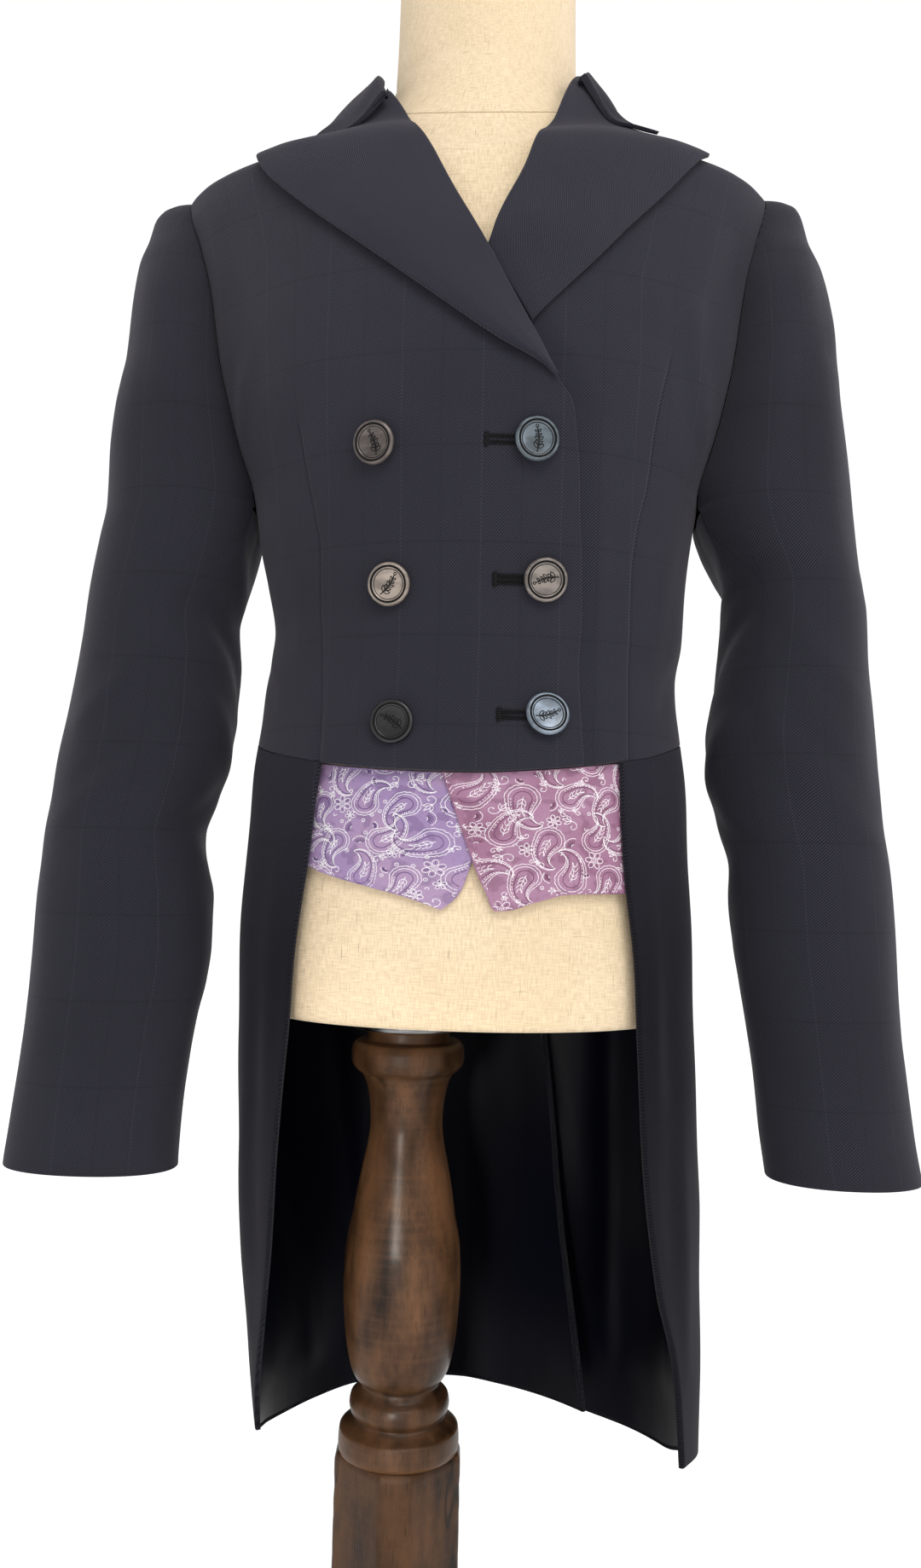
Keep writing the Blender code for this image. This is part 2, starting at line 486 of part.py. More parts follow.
def tail(side, mat, lining_mat):
    sign = -1 if side == "right" else 1
    k = 1 if side == "right" else 2
    rows_t = np.array([0, 0.05, 0.13, 0.27, 0.42, 0.57, 0.71, 0.83, 0.925, 1])
    cols = 17

    def points(out, trim):
        grid = np.zeros((len(rows_t), cols, 3))
        for j, u in enumerate(np.linspace(0, 1, cols)):
            z = np.full(len(rows_t), 500.0)
            for _ in range(8):
                first = np.abs(column(TAIL_EDGE, z, k)) + trim
                if side == "right":
                    reach = column(UNDERLAP, z, 1)
                    last = 180 + np.degrees(np.arcsin(np.clip(reach / 133.0, 0, 0.98))) - trim
                else:
                    last = np.full(len(z), 179.8 - trim)
                a = first + (last - first) * u
                top = np.interp(np.where(a > 180, 180, a) * sign, WAIST[:, 0], WAIST[:, 1]) - SEAM / 2
                low = np.interp(a, HEM[:, 0], HEM[:, k])
                z = (top - trim * 0.35) + (low + trim * 1.2 - top) * rows_t
            a = a * sign
            p = tail_point(a, z, out)
            if side == "right":
                w = np.clip((np.abs(a) - 166) / 24.0, 0, 1)
                w = w * w * (3 - 2 * w)
                far = np.clip((np.abs(a) - 180) / np.maximum(last - 180, 1e-6), 0, 1)
                swing = column(UNDERLAP, z, 2)
                p[:, 1] -= w * (5.5 + (swing - 5.5) * far ** 1.3)
            grid[:, j] = p
        return grid

    centre = np.array([COAT_X, MIDDLE_Y, 480.0])
    p = points(0.0, 0.0)
    n = normals(p, centre)
    cloth("tail_%s" % side, p, None, mat, n=n)
    # the lining keeps the same rows and columns, its rim drawn in from the tail's edge
    q, m = p.copy(), n.copy()
    for axis in (0, 1):
        q, m = np.moveaxis(q, axis, 0), np.moveaxis(m, axis, 0)
        for edge, near in ((0, 1), (-1, -2)):
            step = q[near] - q[edge]
            share = 2.4 / np.maximum(np.linalg.norm(step, axis=-1, keepdims=True), 1e-6)
            q[edge] += step * share
            m[edge] += (m[near] - m[edge]) * share
        q, m = np.moveaxis(q, 0, axis), np.moveaxis(m, 0, axis)
    return cloth("tail_lining_%s" % side, q - m * (WALL + 0.6), None, lining_mat, wall=1.0, n=m)


def point_piece(name, side, mat, inset):
    rows, cols = 9, 10
    sgn = -1 if side == "right" else 1
    low = POINT_RIGHT if side == "right" else POINT_LEFT
    t = np.concatenate([np.linspace(0, 0.75, 4), np.linspace(0.82, 1, rows - 4)])
    s = np.linspace(0, 1, cols)
    if side == "right":
        left = np.full(rows, -52.0)
        right = np.interp(t, POINT_SIDE[:, 0], POINT_SIDE[:, 1])
    else:
        left = np.interp(t, POINT_SIDE[:, 0], POINT_SIDE[:, 2])
        right = np.full(rows, 54.0)
    a = spread(left, right, cols, s)
    bottom_a = np.interp(s, low[:, 0], low[:, 1])
    a = a + (t[:, None] ** 3) * (bottom_a - a[-1])[None, :]
    bottom = np.interp(s, low[:, 0], low[:, 2])
    top = np.interp(a[0], WAIST[:, 0], WAIST[:, 1]) - 0.4
    z = top[None, :] + (bottom - top)[None, :] * t[:, None]
    n = true_normals(body, a, z)
    return cloth(name, body(a, z) - n * inset, None, mat, wall=1.2, n=n)


def lathe(name, prof, x, y, mat, seg=18):
    v, faces, smooth = [], [], []
    for r, z in prof:
        for k in range(seg):
            a = 2 * math.pi * k / seg
            v.append((x + r * math.cos(a), y + r * math.sin(a), z))
    for i in range(len(prof) - 1):
        for k in range(seg):
            b = (k + 1) % seg
            faces.append((i * seg + k, i * seg + b, (i + 1) * seg + b, (i + 1) * seg + k))
            smooth.append(True)
    faces.append(tuple(range(seg - 1, -1, -1)))
    faces.append(tuple((len(prof) - 1) * seg + k for k in range(seg)))
    smooth += [False, False]
    return solid(name, v, faces, mat, smooth)


def dress_form(mat):
    z = np.array([FORM_BOTTOM, FORM_BOTTOM + 3, 600, 667, 690, 700, 745, 772, 800, 825, 850, 875, 905, 940, 975,
                  996, 1008, 1017.2, 1023, 1030, 1038, 1047, 1057, 1068, 1080, 1095, NECK_TOP - 4, NECK_TOP], float)
    seg = 26
    v = []
    for i, h in enumerate(z):
        a = np.linspace(-180, 180, seg + 1)[:-1]
        ahead = (1 + np.cos(np.radians(a))) / 2
        gap = column(FORM_GAP, h, 1) * ahead + column(FORM_GAP, h, 2) * (1 - ahead)
        if i in (0, len(z) - 1):
            gap = gap + 4
        p = body(a, np.full(seg, h))
        n = true_normals(body, a, np.full(seg, h))
        if h < 700 or h > 1100:
            n[:, 2] = 0
        v.append(p - n * gap[:, None])
    v = np.array(v).reshape(-1, 3)
    faces, smooth = [], []
    for i in range(len(z) - 1):
        for k in range(seg):
            b = (k + 1) % seg
            faces.append((i * seg + k, i * seg + b, (i + 1) * seg + b, (i + 1) * seg + k))
            smooth.append(True)
    faces.append(tuple(range(seg - 1, -1, -1)))
    faces.append(tuple((len(z) - 1) * seg + k for k in range(seg)))
    smooth += [False, False]
    return solid("dress_form", v, faces, mat, smooth)


def block(mat):
    h, f = BLOCK_SIDE / 2, BLOCK_FACET / math.sqrt(2)
    turn = math.radians(45 + 3)
    pts = [(h, -h + f), (h, h - f), (h - f, h), (-h + f, h), (-h, h - f), (-h, -h + f), (-h + f, -h), (h - f, -h)]
    v, faces, smooth = [], [], []
    levels = [(BASE_H + SEAM, 1.0), (BLOCK_TOP - 5, 1.0), (BLOCK_TOP, 0.9)]
    for z, k in levels:
        for x, y in pts:
            v.append((k * (x * math.cos(turn) - y * math.sin(turn)), k * (x * math.sin(turn) + y * math.cos(turn)), z))
    m = len(pts)
    for i in range(len(levels) - 1):
        for j in range(m):
            b = (j + 1) % m
            faces.append((i * m + j, i * m + b, (i + 1) * m + b, (i + 1) * m + j))
            smooth.append(False)
    faces.append(tuple(range(m - 1, -1, -1)))
    faces.append(tuple(2 * m + j for j in range(m)))
    smooth += [False, False]
    return solid("post_block", v, faces, mat, smooth)


def button(name, x, z, mat):
    """A disc with a raised double rim and a dished face, standing square on the cloth."""
    p = body_at(np.array(float(x)), np.array(float(z)))
    e = 2.0
    du = body_at(np.array(x + e), np.array(float(z))) - body_at(np.array(x - e), np.array(float(z)))
    dv = body_at(np.array(float(x)), np.array(z + e)) - body_at(np.array(float(x)), np.array(z - e))
    n = np.cross(du, dv)
    n /= np.linalg.norm(n)
    if n[1] > 0:
        n = -n
    u = np.cross(n, [0, 0, 1.0])
    u /= np.linalg.norm(u)
    w = np.cross(u, n)
    r = BUTTON_D / 2
    prof = [(r - 4.0, 0.45), (r, 1.9), (r - 0.4, 3.5), (r - 1.5, BUTTON_H + 0.45), (r - 2.4, 4.05),
            (r - 3.1, 4.45), (r - 4.1, 3.5), (r - 7.0, 3.1)]
    seg, v, faces, smooth = 12, [], [], []
    for rr, hh in prof:
        for k in range(seg):
            a = 2 * math.pi * k / seg
            v.append(p + n * hh + (u * math.cos(a) + w * math.sin(a)) * rr)
    for i in range(len(prof) - 1):
        for k in range(seg):
            b = (k + 1) % seg
            faces.append((i * seg + k, i * seg + b, (i + 1) * seg + b, (i + 1) * seg + k))
            smooth.append(True)
    faces.append(tuple(range(seg - 1, -1, -1)))
    faces.append(tuple((len(prof) - 1) * seg + k for k in range(seg)))
    smooth += [False, False]
    return solid(name, v, faces, mat, smooth)


def main():
    for obj in list(bpy.data.objects):
        bpy.data.objects.remove(obj, do_unlink=True)
    navy = (0.016, 0.019, 0.028)
    body_cloth = {}
    for name in ("front_right", "front_left", "back_right", "back_left", "lapel_right", "lapel_left", "collar",
                 "sleeve_right", "sleeve_left", "tail_right", "tail_left"):
        body_cloth[name] = material("twill_" + name, navy, 0.9)
    front("front_right", -1, RIGHT_EDGE, body_cloth["front_right"])
    front("front_left", 1, LEFT_EDGE, body_cloth["front_left"], tuck=2.9)
    back("back_right", -1, body_cloth["back_right"])
    back("back_left", 1, body_cloth["back_left"])
    lapel("lapel_right", LAPEL_RIGHT, TOP_RIGHT, body_cloth["lapel_right"], None)
    lapel("lapel_left", LAPEL_LEFT, TOP_LEFT, body_cloth["lapel_left"], 2.9)
    collar(body_cloth["collar"])
    sleeve("right", SLEEVE_RIGHT, body_cloth["sleeve_right"])
    sleeve("left", SLEEVE_LEFT, body_cloth["sleeve_left"])
    tail("right", body_cloth["tail_right"], material("satin_right", (0.01, 0.01, 0.012), 0.35))
    tail("left", body_cloth["tail_left"], material("satin_left", (0.01, 0.01, 0.012), 0.35))
    point_piece("point_right", "right", material("jacquard_right", (0.5, 0.4, 0.56), 0.6), 5.9)
    point_piece("point_left", "left", material("jacquard_left", (0.52, 0.38, 0.5), 0.6), 4.3)
    for name, (x, z, turn) in BUTTONS.items():
        button(name, x, z, material("horn_" + name, (0.03, 0.03, 0.033), 0.35))
    dress_form(material("linen", (0.83, 0.72, 0.5), 0.9))
    wood = (0.06, 0.03, 0.018)
    lathe("form_plate", [(30, FORM_BOTTOM - 9.7), (32, FORM_BOTTOM - 8), (32, FORM_BOTTOM - 0.3)], COAT_X * 0, 0,
          material("plate_metal", (0.3, 0.3, 0.3), 0.35, 1.0))
    lathe("post", POST, 0, 0, material("walnut_post", wood, 0.35))
    block(material("walnut_block", wood, 0.4))
    rb = BASE_D / 2
    lathe("stand_base", [(rb - 6, 0), (rb, 5), (rb, BASE_H - 7), (rb - 7, BASE_H - 1), (rb - 14, BASE_H)], 0, 0,
          material("walnut_base", wood, 0.4), seg=28)


main()
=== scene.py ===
# Visual model of a shadbelly coat with its two false waistcoat points, on a limbless dress form and a
# turned post.
# Tables are in millimetres. x is measured from the coat's middle line, which stands COAT_X beside the post.
# Angles go round the body or the arm: 0 in front, 90 at the wearer's left (on an arm, at its outer side).
import math

import bpy
import numpy as np
from mathutils import Matrix, Vector


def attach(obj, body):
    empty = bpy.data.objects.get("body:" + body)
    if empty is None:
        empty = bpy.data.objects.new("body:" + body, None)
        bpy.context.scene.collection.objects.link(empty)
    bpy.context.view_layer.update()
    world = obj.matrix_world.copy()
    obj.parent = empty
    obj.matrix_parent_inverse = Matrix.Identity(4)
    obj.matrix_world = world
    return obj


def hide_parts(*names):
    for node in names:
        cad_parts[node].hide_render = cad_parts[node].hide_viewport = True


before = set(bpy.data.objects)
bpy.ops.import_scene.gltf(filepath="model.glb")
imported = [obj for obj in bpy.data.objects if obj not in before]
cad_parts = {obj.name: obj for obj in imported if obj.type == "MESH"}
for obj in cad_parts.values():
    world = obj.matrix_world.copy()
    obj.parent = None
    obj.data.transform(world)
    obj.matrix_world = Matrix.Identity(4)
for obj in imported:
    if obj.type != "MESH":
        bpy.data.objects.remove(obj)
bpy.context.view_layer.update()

MM = 0.001
COAT_X = 33.0
MIDDLE_Y = 3.0
SIGN = {"right": -1, "left": 1}
# Walls of the body's cloth, the sleeves, the linings and the points
WALL, SLEEVE_WALL, LINING_WALL, POINT_WALL = 2.0, 1.8, 0.8, 1.2
EDGE_ROUND, SEAM_ROUND = 1.05, 0.8
# Heights of the waist seam's reference line, the foot of the armhole, the sleeve cap's top and the neckline
WAIST_Z, ARMHOLE_FOOT, CAP_TOP, NECKLINE = 688.0, 821.5, 1018.8, 1080.0
# Millimetres of cloth for one degree round the points, the sleeves, the form and the tails
POINT_ARC, SLEEVE_ARC, FORM_ARC, TAIL_ARC = 1.72, 0.86, 1.75, 1.9
COLLAR_LENGTH, COLLAR_RING = 420, 84

# Body of the coat: z, half width right, half width left, front depth, back depth, roundness
BODY = np.array([
    (523, 132, 132, 97, 98, 2.1), (575, 132, 130, 97, 96, 2.2), (620, 130, 127, 97, 93, 2.2),
    (667, 127, 124, 95, 90, 2.2),
    (690, 124, 121, 92, 88, 2.2), (722, 121, 117.5, 88, 86, 2.2), (748, 117, 121.5, 86, 84, 2.2),
    (778, 122, 123, 91, 86, 2.2),
    (800, 127, 125, 96, 89, 2.15), (825, 131, 129, 101, 92, 2.15), (850, 142, 139, 105, 95, 2.1),
    (875, 151, 148, 107, 97, 2.1), (900, 159, 155, 106, 98, 2.05), (940, 167, 162, 101, 98, 2.0),
    (975, 175, 168, 93, 96, 2.0), (1000, 180, 171, 86, 90, 2.0), (1007, 180, 170.5, 83, 87, 2.0),
    (1012, 177, 168, 80, 84.5, 2.0),
    (1017, 169, 161, 76, 81.5, 2.0), (1019.7, 162.5, 155.5, 74, 80, 2.0), (1024, 152, 146, 72, 78, 2.0),
    (1031, 136.5, 131, 70, 75.5, 2.0), (1041, 117, 112, 68, 73, 2.0), (1051.5, 92, 89, 66, 71, 2.0),
    (1064.5, 72, 70, 63, 68, 2.0), (1080, 61, 60, 58, 61, 2.0),
    (1095, 54, 54, 53, 56, 2.0), (1200, 51, 51, 50, 53, 2.0)], float)
# Gap from the coat's outside in to the dress form: z, gap in front, gap behind
FORM_GAP = np.array([
    (500, 8.8, 13), (680, 8.8, 13), (700, 6.4, 7), (1000, 6.4, 6.4), (1017, 6.0, 6.0), (1024, 5.2, 5.2),
    (1055, 4.2, 4.2), (1068, 4, 4), (1080, 4.0, 4.0), (1098, 1.0, 1.0), (1200, 0, 0)], float)
# Armhole: z, angle of its front edge, angle of its back edge
ARMHOLE = np.array([
    (822, 89.4, 90.6), (828, 77, 99), (840, 72, 105), (860, 70, 110), (885, 68, 112), (914, 67.5, 113),
    (950, 67.5, 111), (975, 69.5, 109), (996, 73, 106), (1008, 76.5, 102), (1014, 81, 98),
    (1017, 89.4, 90.6)], float)
# Inner edge of each front, from neck to waist: z, angle
RIGHT_EDGE = np.array([
    (660, 28), (714, 28), (768, 27), (819, 25), (844, 22.5), (856, 21), (868, 17), (876, 15), (896, 10),
    (939, 2), (973, -4), (1001, -9), (1032, -17), (1047, -28), (1058, -38), (1068, -52), (1080, -76)], float)
LEFT_EDGE = np.array([
    (660, -28), (840, -28), (868, -25), (880, -20), (900, -12), (920, -4), (939, 2), (962, 5.5), (987, 9),
    (1007, 11.5), (1033, 18), (1047, 28), (1058, 38), (1068, 52), (1080, 76)], float)
# Long darts, from the waist seam up: z, x (positive to the wearer's left); each fades out above its last row
DART_RIGHT = np.array([
    (660, -74), (673, -75), (728, -78), (757, -81), (785, -81), (803, -84), (823, -88), (850, -93),
    (900, -103),
    (1000, -112)], float)
DART_LEFT = np.array([
    (660, 85), (677, 85), (702, 85), (746, 87), (770, 87), (795, 89), (824, 95), (846, 97), (865, 100),
    (886, 105),
    (940, 111), (1000, 114)], float)
DART_TOP = {"right": 852.0, "left": 888.0}
# Height of the waist seam all round: angle, z
WAIST = np.array([
    (-180, 690), (-90, 688), (-69, 681), (-47, 674), (-35, 670.5), (-15, 667), (0, 666), (20, 669),
    (28, 671), (40, 674), (50, 677), (70, 685), (90, 690), (180, 690)], float)
# Tails: z, half width and front depth on the right, the same on the left, back depth, roundness
TAIL = np.array([
    (290, 115, 50, 135, 100, 88, 2.0), (356, 123, 62, 136, 98, 93, 2.0), (400, 127, 80, 136, 96, 97, 2.0),
    (465, 130, 92, 134, 94, 99, 2.05), (523, 132, 97, 132, 97, 98, 2.1), (575, 132, 97, 130, 97, 96, 2.2),
    (620, 130, 97, 127, 97, 93, 2.2), (667, 127, 95, 124, 95, 90, 2.2), (690, 124, 92, 121, 92, 88, 2.2)],
    float)
# Front edges of the tails: z, angle on the right, angle on the left
TAIL_EDGE = np.array([
    (295, -80, 66), (356, -62, 60), (400, -54, 52), (465, -48.5, 47), (523, -43.5, 45), (572, -40.5, 43),
    (620, -37.5, 40.5), (650, -36.3, 40), (672, -35.3, 40.3)], float)
# Lower hem of the tails: angle, z on the right tail and on the left tail
HEM = np.array([
    (60, 296, 303), (80, 295, 297), (95, 291, 288), (114, 288, 278), (132, 290, 279), (145, 292, 281),
    (156, 292, 290), (180, 293, 294), (215, 297, 294)], float)
# Underlap of the right tail past the middle of the back: z, how far it reaches, how far it swings in
UNDERLAP = np.array([
    (290, 75, 42), (356, 66, 32), (400, 60, 24), (465, 53, 15), (523, 46, 10), (600, 36, 8), (660, 16, 7),
    (690, 4, 7)], float)
# Lower edges of the two points: share of the way across, angle, z
POINT_RIGHT = np.array([
    (0, -52, 620), (.26, -38, 615), (.33, -35, 613), (.66, -19, 605.2), (.82, -11, 601), (.92, -6.5, 597.6),
    (1, -3.5, 595)], float)
POINT_LEFT = np.array([
    (0, 6.5, 595), (.08, 9.5, 595.5), (.2, 16, 600), (.37, 24, 604), (.7, 40, 605), (1, 54, 609)], float)
# Inner side of the points from waist seam to tip: share of the way down, right angle, left angle
POINT_SIDE = np.array([
    (0, 7, -4), (.25, 5, -1.5), (.55, 2.5, 1), (.75, 1, 3), (.9, -.5, 5), (.96, -2, 5.6), (1, -3.5, 6.5)],
    float)
# Lapels, from the lower end to the top: share, fold line x and z, outer edge x and z
LAPEL_RIGHT = np.array([
    (0, 44.6, 868.8, 42.6, 868.4), (.07, 41.5, 873, 36.5, 873.6), (.18, 34, 886, 14, 885.5),
    (.32, 20, 911, -19, 909), (.52, 5, 940, -62, 944), (.68, -13, 973, -90, 969),
    (.87, -29, 1001, -120, 1002),
    (.95, -42, 1028, -124, 1011), (1, -49.8, 1045.4, -120, 1015)], float)
LAPEL_LEFT = np.array([
    (0, 6.5, 938, 30.5, 897), (.2, 16, 962, 61, 931), (.38, 26, 987, 81, 956), (.55, 32, 1007, 98, 977),
    (.74, 42, 1033, 118, 1004), (.88, 48, 1049, 126, 1014), (1, 53, 1063, 122, 1018.5)], float)
# Upper edges of the lapels from the fold to the tip of the peak: share, x, z
TOP_RIGHT = np.array([(0, -49.8, 1045.4), (.33, -71.2, 1018), (.66, -98, 1011), (1, -120, 1015)], float)
TOP_LEFT = np.array([(0, 53, 1063), (.3, 73, 1028), (.62, 98, 1017.5), (1, 122, 1018.5)], float)
# Lift of the lapels over the front: share across, lift
LAPEL_LIFT = np.array([(0, 3.2), (.12, 4.6), (.35, 6.6), (.65, 7.4), (.9, 6.0), (1, 5.0)], float)
# Collar from the right gorge round the neck to the left one, each row one section:
# fold x y z, outer edge x y z, foot of the stand x y z, how the middle of the fall dips in x y z
COLLAR = np.array([
    (-52, -68, 1052, -99, -69.5, 1016.5, -52, -66, 1049, 4, -5, -12),
    (-59, -57, 1066, -89.5, -69, 1024, -58, -52, 1060, 3, -4, -7),
    (-61.5, -39, 1079, -83, -57, 1043, -58.5, -37, 1071, 0, -2, -2),
    (-64.5, -14, 1088, -81, -28, 1062, -60, -12, 1081, 0, 0, 0),
    (-66, 12, 1093, -82, 10, 1071, -60, 11, 1083, 0, 0, 0),
    (-54, 39, 1098, -67, 48, 1072, -48.5, 36, 1083.5, 0, 0, 0),
    (-28, 57, 1100, -35, 71, 1073, -25.5, 53.5, 1084, 0, 0, 0),
    (0, 63, 1100, 0, 78, 1073, 0, 60, 1084, 0, 0, 0),
    (28, 57, 1100, 35, 71, 1073, 25.5, 53.5, 1084, 0, 0, 0),
    (54, 39, 1098, 67, 48, 1072, 48.5, 36, 1083.5, 0, 0, 0),
    (62.5, 12, 1093, 79, 10, 1071, 57.5, 11, 1083, 0, 0, 0),
    (61, -14, 1088, 76, -28, 1063, 57, -12, 1081, 0, 0, 0),
    (58, -36, 1082, 76, -54, 1049, 55.5, -35, 1072.5, 0, -2, -2),
    (56.5, -47, 1074, 85, -64, 1036, 55, -47, 1066.5, -3, -3, -8),
    (55, -54, 1069.5, 98, -69.5, 1026, 53.5, -52.5, 1066.5, -5, -5, -12)], float)
# Sleeves: z, outer x, inner x, middle y, half depth
SLEEVE_RIGHT = np.array([
    (441.8, -262.6, -162.8, -13, 29), (468.3, -259.1, -161.8, -13, 31), (506.3, -255.2, -158.1, -12, 34),
    (527.9, -253.2, -154.7, -12, 36), (547.4, -252.1, -150.6, -11, 38), (567, -250.7, -148.6, -11, 39.5),
    (595.4, -249.1, -149.8, -10, 41.5), (612.1, -247.6, -153.1, -9, 42), (632.8, -246, -155.3, -8, 43.5),
    (652.6, -243.1, -149.6, -7, 45), (673.4, -240.7, -144, -6, 47), (705.3, -235.8, -140.5, -4, 49),
    (733.3, -232.1, -141, -2, 51), (756.6, -229.4, -143.5, 0, 53), (775.8, -227.5, -137.8, 1, 55),
    (803, -223.5, -134.5, 2, 57), (823, -219.8, -133.5, 2, 58), (853, -219, -137, 2, 58),
    (880, -216, -140, 2, 58), (911, -209, -140, 2, 57), (941, -207.4, -140, 2, 54),
    (969, -206.3, -140, 3, 47), (986, -203, -140, 3, 41), (1000, -202, -140, 3, 35),
    (1008, -199, -138, 3, 30), (1013, -191, -140, 3, 22), (1016, -180, -142, 3, 15),
    (1019, -172, -148, 3, 9)], float)
SLEEVE_LEFT = np.array([
    (448.8, 255.1, 169.9, -13, 29), (474.2, 250.2, 166, -13, 31), (509.3, 245.6, 162.3, -12, 34),
    (528.9, 243.2, 159.4, -12, 36), (557.2, 241.5, 154.7, -11, 38.5), (574.9, 240.5, 151.7, -11, 40),
    (600.3, 238.9, 149.9, -10, 41.5), (620, 237.2, 149.1, -9, 42.5), (649.6, 233.4, 141.6, -7, 45),
    (675.4, 231.1, 136.3, -6, 47), (692.3, 230, 135.4, -5, 48), (711.2, 228.5, 138.1, -4, 49.5),
    (740.3, 226.1, 143.4, -2, 51), (765.6, 225.3, 146.7, 0, 53), (778.8, 223.4, 146.8, 1, 54.5),
    (791.8, 221.3, 141.8, 1, 56), (809, 220.1, 135.5, 2, 57), (823, 218.8, 132.5, 2, 58),
    (850, 216.1, 134, 2, 58), (880, 212, 136, 2, 58), (911, 207.1, 136, 2, 57), (941, 202.5, 136, 2, 54),
    (969, 198.5, 136, 3, 47), (986, 193.5, 134, 3, 41), (1000, 191.5, 134, 3, 35),
    (1008, 189.5, 132, 3, 30), (1013, 182, 133, 3, 22), (1016, 171.5, 135, 3, 15),
    (1019, 164.5, 141, 3, 9)], float)
# Where the two sleeve seams run, as angles from the sleeve's front middle
FRONT_SEAM = -34.0
BACK_SEAM = 228.0
# Buttons: x, z, turn of the engraving, how the button leans (sideways, up), its colour, which holds painted
# reflections of the room and, on button_3, painted shade
BUTTONS = {
    "button_1": (-49, 835, 20, (-3, 2), (.10, .08, .072)),
    "button_2": (-41, 764, -35, (2, 3), (.31, .255, .215)),
    "button_3": (-37, 691, 60, (1, -7), (.012, .012, .013)),
    "button_4": (34, 836, 5, (2, 4), (.09, .115, .135)),
    "button_5": (40, 767, 110, (-2, 1), (.20, .17, .15)), "button_6": (42, 696, -70, (1, 5), (.17, .21, .26))}
BUTTON_R = 11.5
# Worked buttonholes on the right front: x of the end, x under the button, z
HOLES = [(8.5, 25, 835.5), (14, 31, 766.5), (17.5, 33, 695.5)]
# Height of the seam round the form's neck
NECK_SEAM = 1043.7
# Turned post: radius, z
POST = np.array([
    (33.8, 288.3), (34.2, 292), (33.6, 300), (29, 303), (25.5, 306), (27.5, 309), (28.4, 313), (27.5, 317.5),
    (24, 320.5), (22.4, 324), (25.5, 328), (27.6, 332), (30, 341), (32.2, 356), (33.5, 380), (32.8, 398),
    (29.2, 419), (27.3, 431), (24.7, 445), (21.8, 459), (20.8, 469), (21.2, 478), (22.8, 488), (26.2, 497),
    (30.5, 500.5), (32.6, 505), (32.5, 511), (30, 515.5), (24, 516.5), (23.5, 523)], float)
